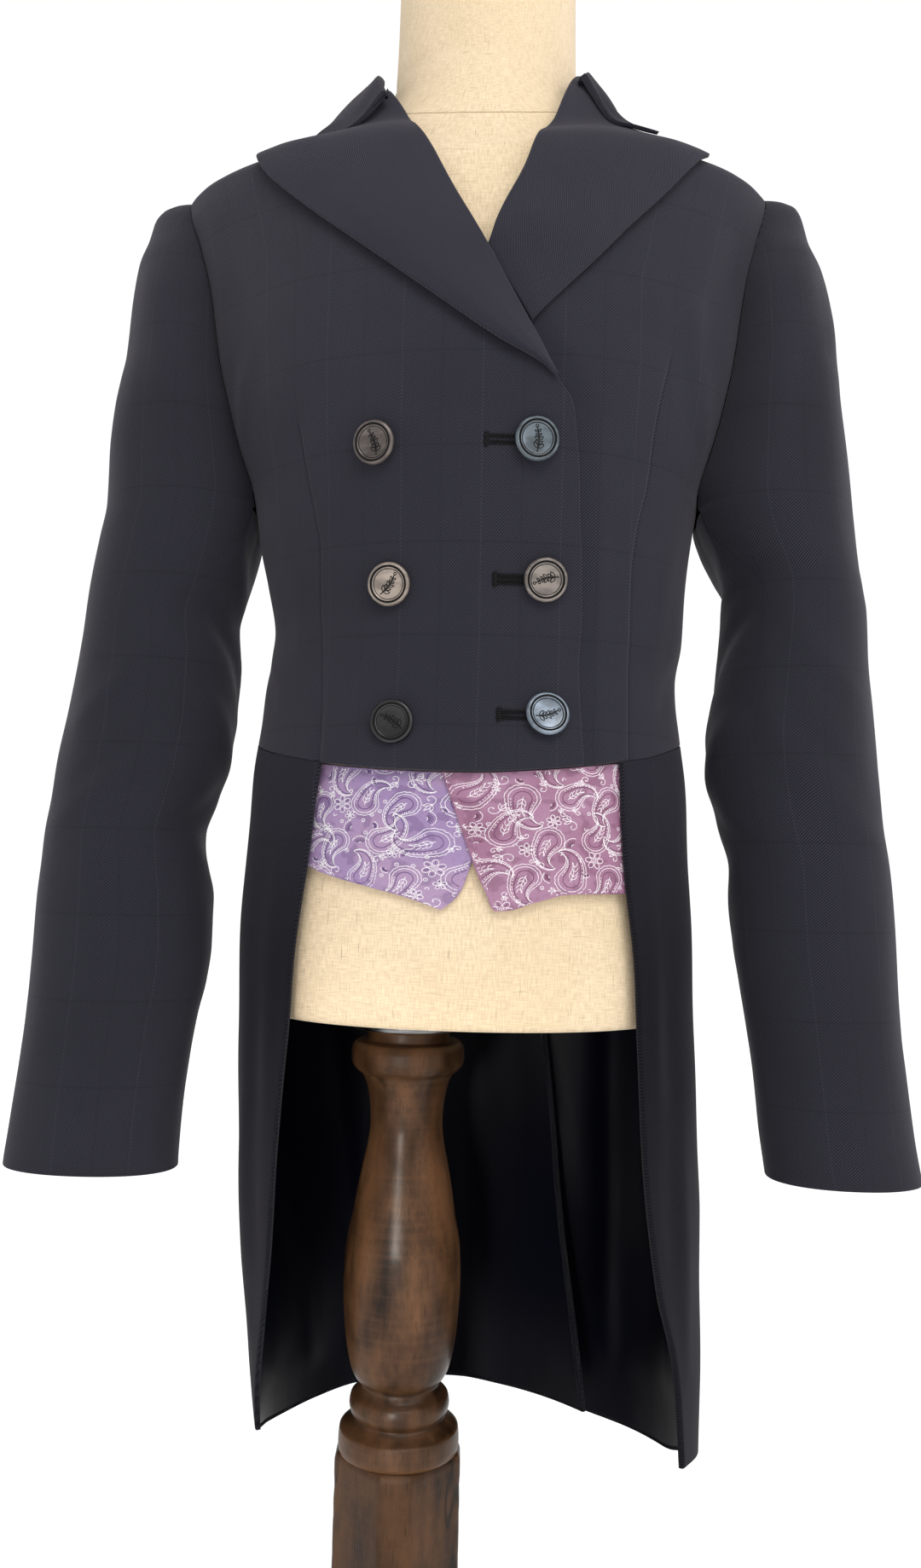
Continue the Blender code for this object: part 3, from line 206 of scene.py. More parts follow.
# Soft folds of each piece, along and up the cloth in mm: from (s, t) to (s, t), bow, width, height.
# s is the distance round the body from the middle of the front or the back, or round the arm from its
# front middle.
FOLDS = {
    "front_right": [(-150, 985, -118, 868, 8, 12, -1.3), (-132, 905, -160, 850, -4, 8, .9),
        (-96, 720, -128, 812, 7, 9, .8), (-30, 905, -110, 962, 6, 16, .6), (-118, 700, -160, 735, 3, 8, -.8),
        (-20, 745, -70, 722, 4, 12, .35)],
    "front_left": [(150, 985, 116, 872, -8, 11, -1.5), (128, 930, 150, 845, 6, 9, 1.2),
        (108, 716, 132, 806, -6, 9, .8), (40, 905, 104, 948, -5, 16, .5), (58, 845, 92, 770, 8, 14, -.5),
        (116, 700, 158, 742, -3, 8, -.8)],
    "back_right": [(-125, 980, -108, 850, 6, 13, -1.3), (-70, 1010, -88, 880, 4, 18, .8),
        (-20, 760, -120, 735, 5, 11, -.9), (-35, 728, -140, 712, -4, 9, .7), (-92, 830, -60, 720, 8, 14, .7)],
    "back_left": [(128, 975, 112, 858, -6, 12, -1.2), (66, 1005, 90, 890, -5, 18, .9),
        (24, 768, 112, 742, -5, 12, -.8), (48, 725, 138, 716, 4, 9, .7), (88, 820, 64, 716, -8, 13, .8)],
    "sleeve_right_top": [(60, 985, 30, 830, -6, 13, .9), (20, 930, 8, 800, 4, 10, -.9),
        (-18, 760, 42, 690, 10, 8, 1.5), (-24, 722, 30, 655, 9, 7, -1.3), (-20, 690, 46, 634, 7, 9, 1.0),
        (70, 760, 46, 640, -6, 10, .8), (44, 620, 30, 480, 5, 13, .8), (150, 760, 100, 690, 9, 9, 1.3),
        (165, 720, 108, 668, 6, 8, -1.2), (160, 680, 118, 620, 6, 9, .9), (120, 960, 140, 820, 5, 13, -.9),
        (96, 560, 110, 470, -4, 11, .7)],
    "sleeve_left_top": [(70, 990, 34, 905, -7, 12, 1.7), (36, 905, 26, 780, 3, 11, 1.2),
        (14, 930, 4, 810, 4, 9, -1.0), (-22, 775, 40, 712, 9, 8, 1.2), (-24, 735, 34, 664, 8, 7, -1.1),
        (-18, 688, 52, 630, 7, 9, 1.0), (74, 745, 52, 640, -6, 10, .8), (40, 610, 34, 476, 5, 13, .7),
        (150, 765, 98, 700, 9, 9, 1.2), (166, 726, 110, 672, 6, 8, -1.2), (158, 690, 120, 626, 6, 9, .9),
        (122, 965, 140, 830, 5, 13, -.9)],
    "sleeve_right_under": [(-36, 805, -92, 742, 8, 9, 2.0), (-40, 762, -96, 700, 7, 7, -1.9),
        (-32, 716, -92, 656, 6, 9, 1.8), (-90, 668, -34, 634, 6, 8, -1.5), (-40, 640, -98, 585, 5, 9, 1.2),
        (-60, 580, -64, 470, 4, 12, .8)],
    "sleeve_left_under": [(-38, 800, -90, 748, 8, 9, 1.9), (-36, 768, -98, 704, 7, 7, -1.8),
        (-34, 706, -92, 650, 6, 9, 1.7), (-92, 662, -36, 628, 6, 8, -1.4), (-42, 634, -96, 580, 5, 9, 1.1),
        (-62, 590, -58, 474, 4, 12, .8)],
    "tail_right": [(-84, 640, -96, 470, 5, 8, 1.1), (-104, 560, -112, 380, 5, 9, -1.3),
        (-122, 500, -132, 330, 4, 9, 1.2), (-150, 670, -166, 420, 6, 16, -1.5),
         (-196, 660, -206, 330, 7, 20, 1.7),
        (-246, 600, -238, 320, 6, 18, -1.4), (-286, 640, -280, 340, 5, 16, 1.3)],
    "tail_left": [(84, 640, 92, 480, -5, 8, 1.2), (100, 585, 112, 395, -5, 8, -1.2),
        (112, 500, 124, 330, -4, 9, 1.4), (148, 672, 162, 430, -6, 16, -1.5),
         (192, 655, 200, 335, -7, 20, 1.6),
        (240, 610, 236, 320, -6, 18, -1.4), (272, 640, 270, 345, -5, 14, 1.0)],
    "point_right": [(-60, 650, -20, 640, 4, 12, .35), (-14, 660, -26, 612, 4, 10, .3)],
    "point_left": [(20, 648, 70, 642, -4, 12, .35), (30, 660, 22, 612, 4, 10, .3)],
    "lapel_right": [(10, 30, 60, 80, 6, 16, .5)],
    "lapel_left": [(12, 30, 60, 70, 6, 16, .5)],
}


# Shapes

def column(table, z, k):
    """Column k of a table at z: a smooth curve through the rows whose slopes never overshoot them."""
    x, y = table[:, 0], table[:, k]
    h = np.diff(x)
    d = np.diff(y) / h
    m = np.empty(len(x))
    m[0], m[-1] = d[0], d[-1]
    same = d[:-1] * d[1:] > 0
    w1, w2 = 2 * h[1:] + h[:-1], h[1:] + 2 * h[:-1]
    safe = np.where(same, d[:-1], 1), np.where(same, d[1:], 1)
    m[1:-1] = np.where(same, (w1 + w2) / (w1 / safe[0] + w2 / safe[1]), 0)
    z = np.clip(np.asarray(z, float), x[0], x[-1])
    i = np.clip(np.searchsorted(x, z, side="right") - 1, 0, len(h) - 1)
    t = (z - x[i]) / h[i]
    a, b = t * t * (3 - 2 * t), t * (1 - t)
    return y[i] * (1 - a) + y[i + 1] * a + h[i] * b * ((1 - t) * m[i] - t * m[i + 1])


def soft(t):
    """Smooth step: 0 below 0, 1 above 1."""
    t = np.clip(t, 0, 1)
    return t * t * (3 - 2 * t)


def unit(v):
    """Vectors brought to length 1."""
    return v / np.maximum(np.linalg.norm(v, axis=-1, keepdims=True), 1e-9)


def bent(v, power):
    """A sine or cosine raised to a power with its sign kept."""
    return np.sign(v) * np.abs(v) ** power


def ring(angle, right, left, front, back, power, z):
    """A rounded section: |x / side| ^ n + |y / depth| ^ n = 1, with its own size on each of four sides."""
    s, c = np.sin(np.radians(angle)), np.cos(np.radians(angle))
    x = np.where(s < 0, right, left) * bent(s, 2.0 / power)
    y = MIDDLE_Y - np.where(c > 0, front + MIDDLE_Y, back - MIDDLE_Y) * bent(c, 2.0 / power)
    return np.stack(np.broadcast_arrays(x + COAT_X, y, z), -1)


def body(angle, z, out=0.0):
    """Point of the coat's body at an angle and a height."""
    right, left, front, back, power = [column(BODY, z, k) for k in range(1, 6)]
    return ring(angle, right + out, left + out, front + out, back + out, power, z)


def body_at(x, z):
    """Point of the body's front at a given x and height."""
    n = column(BODY, z, 5)
    q = np.clip(np.abs(x) / np.where(x < 0, column(BODY, z, 1), column(BODY, z, 2)), 0, 0.995)
    y = MIDDLE_Y - (column(BODY, z, 3) + MIDDLE_Y) * (1 - q ** n) ** (1 / n)
    return np.stack(np.broadcast_arrays(x + COAT_X, y, z), -1)


def body_angle(x, z):
    """Angle of the body's front at a given x and height."""
    q = np.clip(np.abs(x) / np.where(x < 0, column(BODY, z, 1), column(BODY, z, 2)), 0, 0.999)
    return np.sign(x) * np.degrees(np.arcsin(q ** (column(BODY, z, 5) / 2)))


def tail_body(angle, z):
    """Point of the tails' shape at an angle and a height."""
    right, front_right, left, front_left, back, power = [column(TAIL, z, k) for k in range(1, 7)]
    front = np.where(np.sin(np.radians(angle)) < 0, front_right, front_left)
    return ring(angle, right, left, front, back, power, z)


def arm(table, angle, z):
    """Point of a sleeve at an angle round it and a height."""
    xo, xi, yc, hd = [column(table, z, k) for k in range(1, 5)]
    x = (xo + xi) / 2 + (xo - xi) / 2 * bent(np.sin(np.radians(angle)), 2 / 2.15)
    y = yc - hd * bent(np.cos(np.radians(angle)), 2 / 2.15)
    return np.stack(np.broadcast_arrays(x + COAT_X, y, z), -1)


def normals_of(surface, a, b, da=1.5, db=3.0):
    """Unit normals of surface(a, b), from points a little to each side."""
    return unit(np.cross(surface(a + da, b) - surface(a - da, b), surface(a, b + db) - surface(a, b - db)))


def grid_normals(p, centre):
    """Unit normals of a grid of points, turned away from centre."""
    n = unit(np.cross(np.gradient(p, axis=0), np.gradient(p, axis=1)))
    return -n if np.sum(n * (p - centre)) < 0 else n


def lines(count, size, near=EDGE_ROUND):
    """Shares from 0 to 1 in even steps, with closer lines beside both ends for crisp edges and seams."""
    out = np.linspace(0, 1, count)
    gap = np.array([0.15, 0.5, 1.05, 2.0]) * near / size
    for end in (0.0, 1.0):
        out = out[np.abs(out - end) > gap[-1] * 1.3]
    return np.unique(np.concatenate([out, [0.0, 1.0], gap, 1.0 - gap]).round(6))


def run_of(line):
    """Running length along a line of points, from 0."""
    return np.concatenate([[0], np.linalg.norm(np.diff(line, axis=0), axis=1).cumsum()])


def spans(p):
    """Running length in mm along the columns and along the rows of a grid of points."""
    down = np.linalg.norm(np.diff(p, axis=0), axis=2).cumsum(0)
    across = np.linalg.norm(np.diff(p, axis=1), axis=2).cumsum(1)
    return np.pad(down, ((1, 0), (0, 0))), np.pad(across, ((0, 0), (1, 0)))


def from_edge(across, reach):
    """0 on the first and last column, 1 from reach mm inward."""
    return np.minimum(across, across[:, -1:] - across) / reach


def rounded(p, n, radii):
    """Turns each border in by a quarter circle. radii: first row, last row, first column, last column."""
    down, across = spans(p)
    off = np.zeros(p.shape[:2])
    for d, r in zip((down, down[-1:] - down, across, across[:, -1:] - across), radii):
        if r:
            q = np.clip(1 - d / r, 0, 1)
            off = np.minimum(off, -r * (1 - np.sqrt(1 - q * q)))
    return p + n * off[..., None]


def folds(name, s, t):
    """Soft folds: a bell across each line, a shallower opposite one beside it, faded at the ends."""
    out = np.zeros(np.broadcast(s, t).shape)
    for s0, t0, s1, t1, bow, width, height in FOLDS.get(name, ()):
        ds, dt = s1 - s0, t1 - t0
        length = math.hypot(ds, dt)
        along = ((s - s0) * ds + (t - t0) * dt) / length ** 2
        side = ((s - s0) * dt - (t - t0) * ds) / length - bow * 4 * along * (1 - along)
        fade = np.clip(1 - (2 * along - 1) ** 4, 0, 1) ** 1.5
        bell = np.exp(-(side / width) ** 2) - 0.45 * np.exp(-((side - 1.7 * width) / (1.2 * width)) ** 2)
        out += height * bell * fade
    return out


def uneven(s, t, seed, size=0.3):
    """Slow unevenness of hung cloth: eight waves in seeded directions, 45 to 160 mm long."""
    r = np.random.default_rng(seed)
    out = 0.0
    for _ in range(8):
        a, w, ph = r.uniform(0, math.pi), r.uniform(45, 160), r.uniform(0, 6.28)
        out = out + np.cos((s * math.cos(a) + t * math.sin(a) * 0.7) * 2 * math.pi / w + ph)
    return out * size / 3


# Meshes

def settled(v):
    """The shoulders and collar sit 8 mm lower on the form than the tables have them, eased in from z 1008."""
    v = np.array(v, float)
    v[..., 2] -= 8 * (soft((v[..., 2] - 1008) / 34) - soft((v[..., 2] - 1112) / 60))
    return v


def mesh_piece(name, v, faces, mats, uv=None, mat_index=None):
    """One mesh object from points in mm; uv is one (u, v) in mm for each point."""
    mesh = bpy.data.meshes.new(name)
    mesh.from_pydata((settled(v) * MM).tolist(), [], faces if isinstance(faces, list) else faces.tolist())
    mesh.polygons.foreach_set("use_smooth", np.full(len(mesh.polygons), True))
    if uv is not None:
        loops = np.empty(len(mesh.loops), np.int32)
        mesh.loops.foreach_get("vertex_index", loops)
        layer = mesh.uv_layers.new(name="cloth")
        layer.data.foreach_set("uv", (np.asarray(uv)[loops] * MM).ravel().astype(np.float32))
    for mat in mats if isinstance(mats, list) else [mats]:
        mesh.materials.append(mat)
    if mat_index is not None:
        mesh.polygons.foreach_set("material_index", np.asarray(mat_index, np.int32))
    obj = bpy.data.objects.new(name, mesh)
    bpy.context.scene.collection.objects.link(obj)
    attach(obj, "root")
    return obj


def quads(rows, cols, close_cols=False):
    """Faces of a grid of rows by cols points, row after row."""
    i = np.arange(rows * cols).reshape(rows, cols)
    if close_cols:
        i = np.concatenate([i, i[:, :1]], 1)
    return np.stack([i[:-1, :-1], i[:-1, 1:], i[1:, 1:], i[1:, :-1]], -1).reshape(-1, 4)


def outward(v, f, n):
    """True if most of the faces point along n, given at each point."""
    a, b, c = v[f[:, 0]], v[f[:, 1]], v[f[:, 2]]
    return np.sum(np.cross(b - a, c - a) * n[f[:, 0]]) > 0


def rim(grid):
    """The border of a grid, in order round it."""
    return np.concatenate([grid[0], grid[1:, -1], grid[-1, -2::-1], grid[-2:0:-1, 0]])


def shell(name, p, n, mats, wall, uv):
    """Closed thin body: the outer grid p, an inner grid wall below it along n, and a rim that joins them.
    A second material goes to the inner side."""
    rows, cols = p.shape[:2]
    inner = p - n * np.broadcast_to(wall, p.shape[:2])[..., None]
    k = rows * cols
    v = np.concatenate([p.reshape(-1, 3), inner.reshape(-1, 3)])
    f = quads(rows, cols)
    edge = rim(np.arange(k).reshape(rows, cols))
    following = np.roll(edge, -1)
    faces = np.concatenate([f, f[:, ::-1] + k, np.stack([following, edge, edge + k, following + k], 1)])
    if not outward(v, f, n.reshape(-1, 3)):
        faces = faces[:, ::-1]
    index = None
    if isinstance(mats, list) and len(mats) > 1:
        index = np.zeros(len(faces), int)
        index[len(f):2 * len(f)] = 1
    return mesh_piece(name, v, faces, mats, np.concatenate([uv.reshape(-1, 2)] * 2), index)


def tube(name, grid, mats, uv=None, mat_index=None):
    """Closed body from rings of points, row after row, with one face across each end."""
    rows, cols = grid.shape[:2]
    v, f = grid.reshape(-1, 3), quads(rows, cols, True)
    faces = f.tolist() + [list(range(cols))[::-1], list(range(len(v) - cols, len(v)))]
    if not outward(v, f, v - v.mean(0)):
        faces = [q[::-1] for q in faces]
    return mesh_piece(name, v, faces, mats, uv, mat_index)


def solid_piece(name, node, grid, mat, uv=None):
    """A closed body that takes a solid's place."""
    obj = tube(name, grid, mat, uv)
    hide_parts(node)


def closing(ring_of, shares):
    """Copies of an end ring drawn in towards its middle."""
    middle = ring_of.mean(0)
    return [middle + (ring_of - middle) * k for k in shares]


def cloth_piece(node, obj, p):
    """Hides the solid that a sewn panel takes the place of; the running lengths of its grid are worked out
    but not used.
    """
    down, across = spans(p)
    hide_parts(node)


def panel(node, p, n, off, radii, uv, mats, wall):
    """Finishes one panel of the coat: folds raised, borders turned in, and a thin wall; its solid is hidden.
    """
    p = rounded(p + n * off[..., None], n, radii)
    cloth_piece(node, shell("coat_" + node, p, n, mats, wall, np.stack(uv, -1)), p)


# Coat

def waist_height(angle, z):
    """Brings the lowest rows of a panel onto the dipping waist seam, less and less up to 745 mm."""
    w = np.clip((745.0 - z) / 57.0, 0, 1) ** 1.2
    return z + (column(WAIST, angle, 1) + 0.05 - WAIST_Z) * w


def side_edge(z, k):
    """Side seam, armhole and shoulder seam as one line: k 1 on the front, 2 on the back."""
    inside_hole = (z > ARMHOLE[0, 0]) & (z < ARMHOLE[-1, 0])
    return np.where(inside_hole, column(ARMHOLE, z, k), 90 - 0.03 if k == 1 else 90 + 0.03)


def sunk(a, z):
    """How far the left front sinks where it passes below the right one."""
    return 2.9 * soft((965 - z) / 20) * soft((column(RIGHT_EDGE, z, 1) + 6.5 - a) / 6.0)


def panel_rows():
    """Heights of a panel's rows, with the armhole's own among them."""
    z = WAIST_Z + (NECKLINE - WAIST_Z) * lines(150, NECKLINE - WAIST_Z)
    return np.unique(np.concatenate([z, ARMHOLE[:, 0] + 0.01]))


def quiet_border(across, z):
    """0 along a panel's side borders and waist seam, where the sewing holds the cloth still, 1 inside."""
    return soft(from_edge(across, 14.0)) * soft((z - 690) / 12 + 0.4)


def front(side, edge, dart, mat):
    """One front: columns from its inner edge past the dart to the side seam, rows from waist to neck."""
    sign, z = SIGN[side], panel_rows()
    outer, inner = sign * side_edge(z, 1), column(edge, z, 1) + sign * 0.05
    crease = sign * np.maximum(sign * body_angle(column(dart, z, 1), z), sign * inner + 6)
    crease = sign * np.minimum(sign * crease, sign * outer - 2)
    u1, u2 = lines(58, 150, EDGE_ROUND), lines(34, 80, SEAM_ROUND)
    a = np.concatenate([inner[:, None] + (crease - inner)[:, None] * u1,
                        (crease[:, None] + (outer - crease)[:, None] * u2)[:, 1:]], 1)
    zz = waist_height(a, np.repeat(z[:, None], a.shape[1], 1))
    p, n = body(a, zz), normals_of(body, a, zz)
    _, across = spans(p)
    zero = np.array([np.interp(0, sign * r, c) if sign * r[0] < 0 else c[0] - sign * r[0] * 1.75
                     for r, c in zip(a, across)])
    s = sign * (across - zero[:, None])
    off = folds("front_" + side, s, zz) + uneven(s, zz, {"right": 3, "left": 5}[side])
    # the dart: a narrow groove with a soft hollow beside its upper end
    from_dart = across - across[:, len(u1) - 1:len(u1)]
    reach = soft((DART_TOP[side] + 4 - zz) / 9)
    off -= reach * (0.75 * np.exp(-(from_dart / 0.75) ** 2) + 0.5 * np.exp(-(from_dart / 5.0) ** 2))
    off -= 0.7 * np.exp(-(from_dart / 9) ** 2 - ((zz - DART_TOP[side]) / 14) ** 2)
    off = off * np.where(np.abs(from_dart) < 2.5, 1, quiet_border(across, zz))
    if side == "left":
        off = off * soft((a - column(RIGHT_EDGE, zz, 1) - 4) / 8) - sunk(a, zz)
    panel("front_" + side, p, n, off, (SEAM_ROUND, 0, EDGE_ROUND, SEAM_ROUND), (s, zz), [mat, LINING], WALL)


def back(side, mat):
    """One back: columns run from the side seam and armhole to the middle seam."""
    sign, z = SIGN[side], panel_rows()
    outer = side_edge(z, 2)
    u = lines(54, 200, SEAM_ROUND)
    a = sign * (outer[:, None] + (179.98 - outer)[:, None] * u)
    rise = np.clip((z - 1017.2) / 62.8, 0, 1) ** 2 * 1.5
    zz = waist_height(a, np.repeat(z[:, None], len(u), 1)) + rise[:, None] * u[None, :] ** 0.7
    p, n = body(a, zz), normals_of(body, a, zz)
    _, across = spans(p)
    s = sign * (across[:, -1:] - across)
    off = folds("back_" + side, s, zz) + uneven(s, zz, {"right": 7, "left": 11}[side])
    panel("back_" + side, p, n, off * quiet_border(across, zz), (SEAM_ROUND, 0, SEAM_ROUND, SEAM_ROUND),
          (s, zz),
          [mat, LINING], WALL)


# Length and width of each lapel, how far its top stands up beside the neck and over what share, seed
LAPELS = {"right": (250, 80, [-1.5, 6.0, 14.0], 0.5, 13), "left": (190, 70, [0, 7.0, 16.5], 0.6, 17)}


def lapel(side, table, top, mat):
    """One lapel by its shares up and across from the fold, where the cloth rolls round to the front."""
    length, width, raised, share, seed = LAPELS[side]
    t = lines(96, length)
    roll = np.linspace(math.pi, 0, 11)
    turns = len(roll)
    across = np.concatenate([np.zeros(turns), lines(44, width)[1:]])
    fx, fz, ox, oz = [column(table, t, k)[:, None] for k in range(1, 5)]
    wave = 1.3 * np.sin(fz / 8.5) * soft((fz - 985) / 25) if side == "right" else 0.35 * np.sin(fz / 10)
    x, z = fx + (ox - fx) * across, fz + (oz - fz) * across
    x, z = [q + t[:, None] ** 2.2 * (column(top, across, k) - q[-1])[None, :] for k, q in ((1, x), (2, z))]
    ramp = soft(t / 0.22)[:, None]
    lift = 2.8 + (np.maximum(column(LAPEL_LIFT, across, 1), 2.8) - 2.8) * ramp
    if side == "left":
        lift = lift - sunk(body_angle(x, z) + 1.5, z)
    n = normals_of(body_at, x, z)
    p = body_at(x, z) + n * lift[..., None]
    # beside the neck the lapel stands up to the collar's fold
    stand = soft((t - 0.62) / 0.38)[:, None] * (1 - soft(across / share))
    p = p + stand[..., None] * np.array(raised)
    # roll: a half circle from the front's surface, out past the fold line, up to the lapel
    last = slice(turns - 1, turns)
    half = np.minimum(lift[:, last] - 0.2, 3.0) / 2 * ramp ** 0.4
    to_edge = unit(p[:, turns:turns + 1] - p[:, last])
    out = -to_edge * (half * np.sin(roll) + wave * np.abs(np.cos(roll / 2)))[..., None]
    p[:, :turns] = p[:, last] + out + n[:, last] * (-half * (1 - np.cos(roll)))[..., None]
    n = n.copy()
    n[:, :turns] = unit(np.cos(roll)[None, :, None] * n[:, last] - np.sin(roll)[None, :, None] * to_edge)
    down, run = spans(p)
    off = folds("lapel_" + side, run, down) + 0.5 * uneven(run, down, seed)
    p = p + n * (off * soft(from_edge(run, 10.0)))[..., None]
    p = rounded(p, n, (EDGE_ROUND * 0.7, 0, 0, EDGE_ROUND * 0.8))
    # the upper edge turns down and runs on a little under the collar
    on = unit(p[-1] - p[-4])
    hidden = [p[-1] + on * f - n[-1] * d for f, d in ((0.9, 0.5), (1.8, 1.5), (3.0, 3.0))]
    p, n = np.concatenate([p, hidden]), np.concatenate([n] + [n[-1:]] * 3)
    run = np.concatenate([run] + [run[-1:]] * 3)
    down = np.concatenate([down] + [down[-1:] + k for k in (1.0, 2.4, 4.2)])
    wall = np.interp(run, [0, 3, 9], [0.25, 0.5, 1.5])
    obj = shell("coat_lapel_" + side, p, n, mat, wall, np.stack([run, down], -1))
    cloth_piece("lapel_" + side, obj, p)


def closed_curve(points, count):
    """A smooth closed curve through points (axis 1 of an array), cut into count pieces of even length."""
    k = points.shape[1]
    f = np.linspace(0, k, 24 * k, endpoint=False)
    i, t = f.astype(int), (f % 1)[None, :, None]
    p0, p1, p2, p3 = [points[:, (i + j) % k] for j in (-1, 0, 1, 2)]
    m1, m2 = (p2 - p0) * 0.42, (p3 - p1) * 0.42
    c = p1 * (2 * t ** 3 - 3 * t ** 2 + 1) + p2 * (3 * t ** 2 - 2 * t ** 3)
    c = c + m1 * (t ** 3 - 2 * t ** 2 + t) + m2 * (t ** 3 - t ** 2)
    out = []
    for row in c:
        row = np.vstack([row, row[:1]])
        d = run_of(row)
        g = np.linspace(0, d[-1], count, endpoint=False)
        out.append(np.stack([np.interp(g, d, row[:, j]) for j in range(3)], -1))
    return np.array(out)


def collar(mat):
    """The collar: a folded section, stand inside and fall outside, carried round the neck."""
    table = np.column_stack([np.linspace(0, 1, len(COLLAR)), COLLAR])
    t = lines(130, COLLAR_LENGTH)

    def at(k, t):
        return np.stack([column(table, t, k + j + 1) for j in range(3)], -1)
    fold, edge, foot, dip = at(0, t), at(3, t), at(6, t), at(9, t)
    edge = edge - (soft((t - 0.8) / 0.2) * 4.5 + soft((0.12 - t) / 0.12) * 2.5)[:, None] * np.array([0, 0, 1])
    fold = fold + 3.5 * np.exp(-((t - 0.13) / 0.09) ** 2)[:, None] * np.array([1, 0, 0])
    out, up = unit((edge - foot) * [1, 1, 0]), np.array([0.0, 0.0, 1.0])
    along = at(0, np.minimum(t + .03, 1)) - at(0, np.maximum(t - .03, 0))
    off = unit(np.cross(along, edge - fold))
    off = off * np.sign(np.sum(off * out, -1, keepdims=True))
    thick, gap = 2.6, 0.9
    bow = (fold + edge) / 2 + out * 2.2 + up * 1.0 + dip
    quarter = (bow + edge) / 2 + off * 0.3
    section = [foot, fold - out * 1.0 - up * 2.8, fold - out * 0.4 - up * 0.7, fold + out * 1.9 + up * 0.2,
               fold + out * (thick + 2.0) - up * 1.5, bow, quarter, edge,
               edge - off * thick * 0.45 + unit(edge - bow) * 0.3, edge - off * thick * 0.9,
               quarter - off * thick,
               bow - off * thick, fold + out * (gap + 0.8) - up * (thick + 1.8),
               fold + out * 0.9 - up * (thick + 1.2), foot + out * (thick - 0.9) + up * 0.3]
    ringed = closed_curve(np.stack(section, 1) + np.array([COAT_X, 0, 0]), COLLAR_RING)
    near = np.minimum(t, 1 - t)[:, None, None] * COLLAR_LENGTH
    shrink = 1 - np.sqrt(np.clip(1 - (1 - np.clip(near / 1.2, 0, 1)) ** 2, 0, 1))
    n = -unit(np.cross(np.roll(ringed, -1, 1) - np.roll(ringed, 1, 1), np.gradient(ringed, axis=0)))
    if np.sum(n * (ringed - ringed.mean(1, keepdims=True))) < 0:
        n = -n
    swell = 0.25 * uneven(t[:, None] * COLLAR_LENGTH, np.linspace(0, 80, COLLAR_RING)[None, :], 19)
    ringed = ringed - n * (shrink * 1.0 - swell[..., None] * (shrink < 0.01))
    _, girth = spans(ringed)
    uv = np.stack([np.repeat(t[:, None] * COLLAR_LENGTH, COLLAR_RING, 1), girth], -1).reshape(-1, 2)
    obj = tube("coat_collar", ringed, mat, uv)
    cloth_piece("collar", obj, ringed[:, :COLLAR_RING // 2 + 1])


def seam_angles(z):
    """The two sleeve seams, which close in on the underarm near the armhole."""
    k = soft((ARMHOLE_FOOT - z) / 60)
    return -66 + (FRONT_SEAM + 66) * k, 246 + (BACK_SEAM - 246) * k


def sleeve_top(side, table, mat):
    """The top sleeve: its cap is pinned to the armhole on both sides and closes over the shoulder's end."""
    sign, low = SIGN[side], table[0, 0]
    z = low + (CAP_TOP - low) * lines(215, CAP_TOP - low)
    marks = ARMHOLE_FOOT + np.array([0, 2, 4, 6, 8])
    z = np.sort(np.concatenate([z[np.abs(z[:, None] - marks).min(1) > 0.9], marks]))[::-1]
    u = lines(60, 250, SEAM_ROUND)
    high = np.minimum(z, 1015.6)
    f, b = [body(sign * column(ARMHOLE, high, k), high, 0.3) for k in (1, 2)]
    xo, xi, yc, hd = [column(table, z, k) for k in range(1, 5)]
    pinned = []
    for q in (f, b):
        q[:, 2] = z
        q[:, 0] += sign * 0.3
        pinned.append(np.degrees(np.arctan2((q[:, 0] - COAT_X - (xo + xi) / 2) / ((xo - xi) / 2),
                                            (yc - q[:, 1]) / hd)))
    w = soft((z - ARMHOLE_FOOT) / 8)
    af, ab = [free + (held - free) * w for free, held in zip(seam_angles(z), (pinned[0], pinned[1] % 360))]
    a = af[:, None] + (ab - af)[:, None] * u
    p = sleeve_shape(table, sign, a, np.repeat(z[:, None], len(u), 1))
    # low down only the very edge is drawn to the armhole, higher up more of the sleeve follows
    reach = (3 + 22 * (1 - soft((z - ARMHOLE_FOOT) / 80)))[:, None]
    p = p + w[:, None, None] * ((1 - u)[None, :] ** reach)[..., None] * (f - p[:, 0])[:, None]
    p = p + w[:, None, None] * (u[None, :] ** reach)[..., None] * (b - p[:, -1])[:, None]
    p, a = tucked(p, w, arm_middle(table, p)), np.pad(a, ((0, 0), (1, 1)), "edge")
    cap_rows = cap_close(p)
    p = np.concatenate([cap_rows, p])
    z, a = [np.concatenate([np.repeat(q[:1], len(cap_rows), 0), q]) for q in (z, a)]
    zz = np.repeat(z[:, None], p.shape[1], 1)
    n = grid_normals(p, arm_middle(table, p))
    _, across = spans(p)
    girth = a * SLEEVE_ARC
    name = "sleeve_%s_top" % side
    off = folds(name, girth, zz) + uneven(girth, zz, {"right": 23, "left": 29}[side], 0.4)
    # eased fullness of the cap, soft dimples just below the armhole seam
    cap = soft((zz - 930) / 60) * np.clip(from_edge(across, 16.0), 0, 1)
    off += 0.5 * cap * np.cos(girth / 7.0) * np.exp(-(from_edge(across, 14.0) - .6) ** 2)
    off *= soft(from_edge(across, 12.0)) * soft((1012 - zz) / 40) * soft((zz - low) / 10 + .3)
    panel(name, p, n, off, (0, EDGE_ROUND, 0, 0), (girth * sign, zz), [mat, LINING], SLEEVE_WALL)


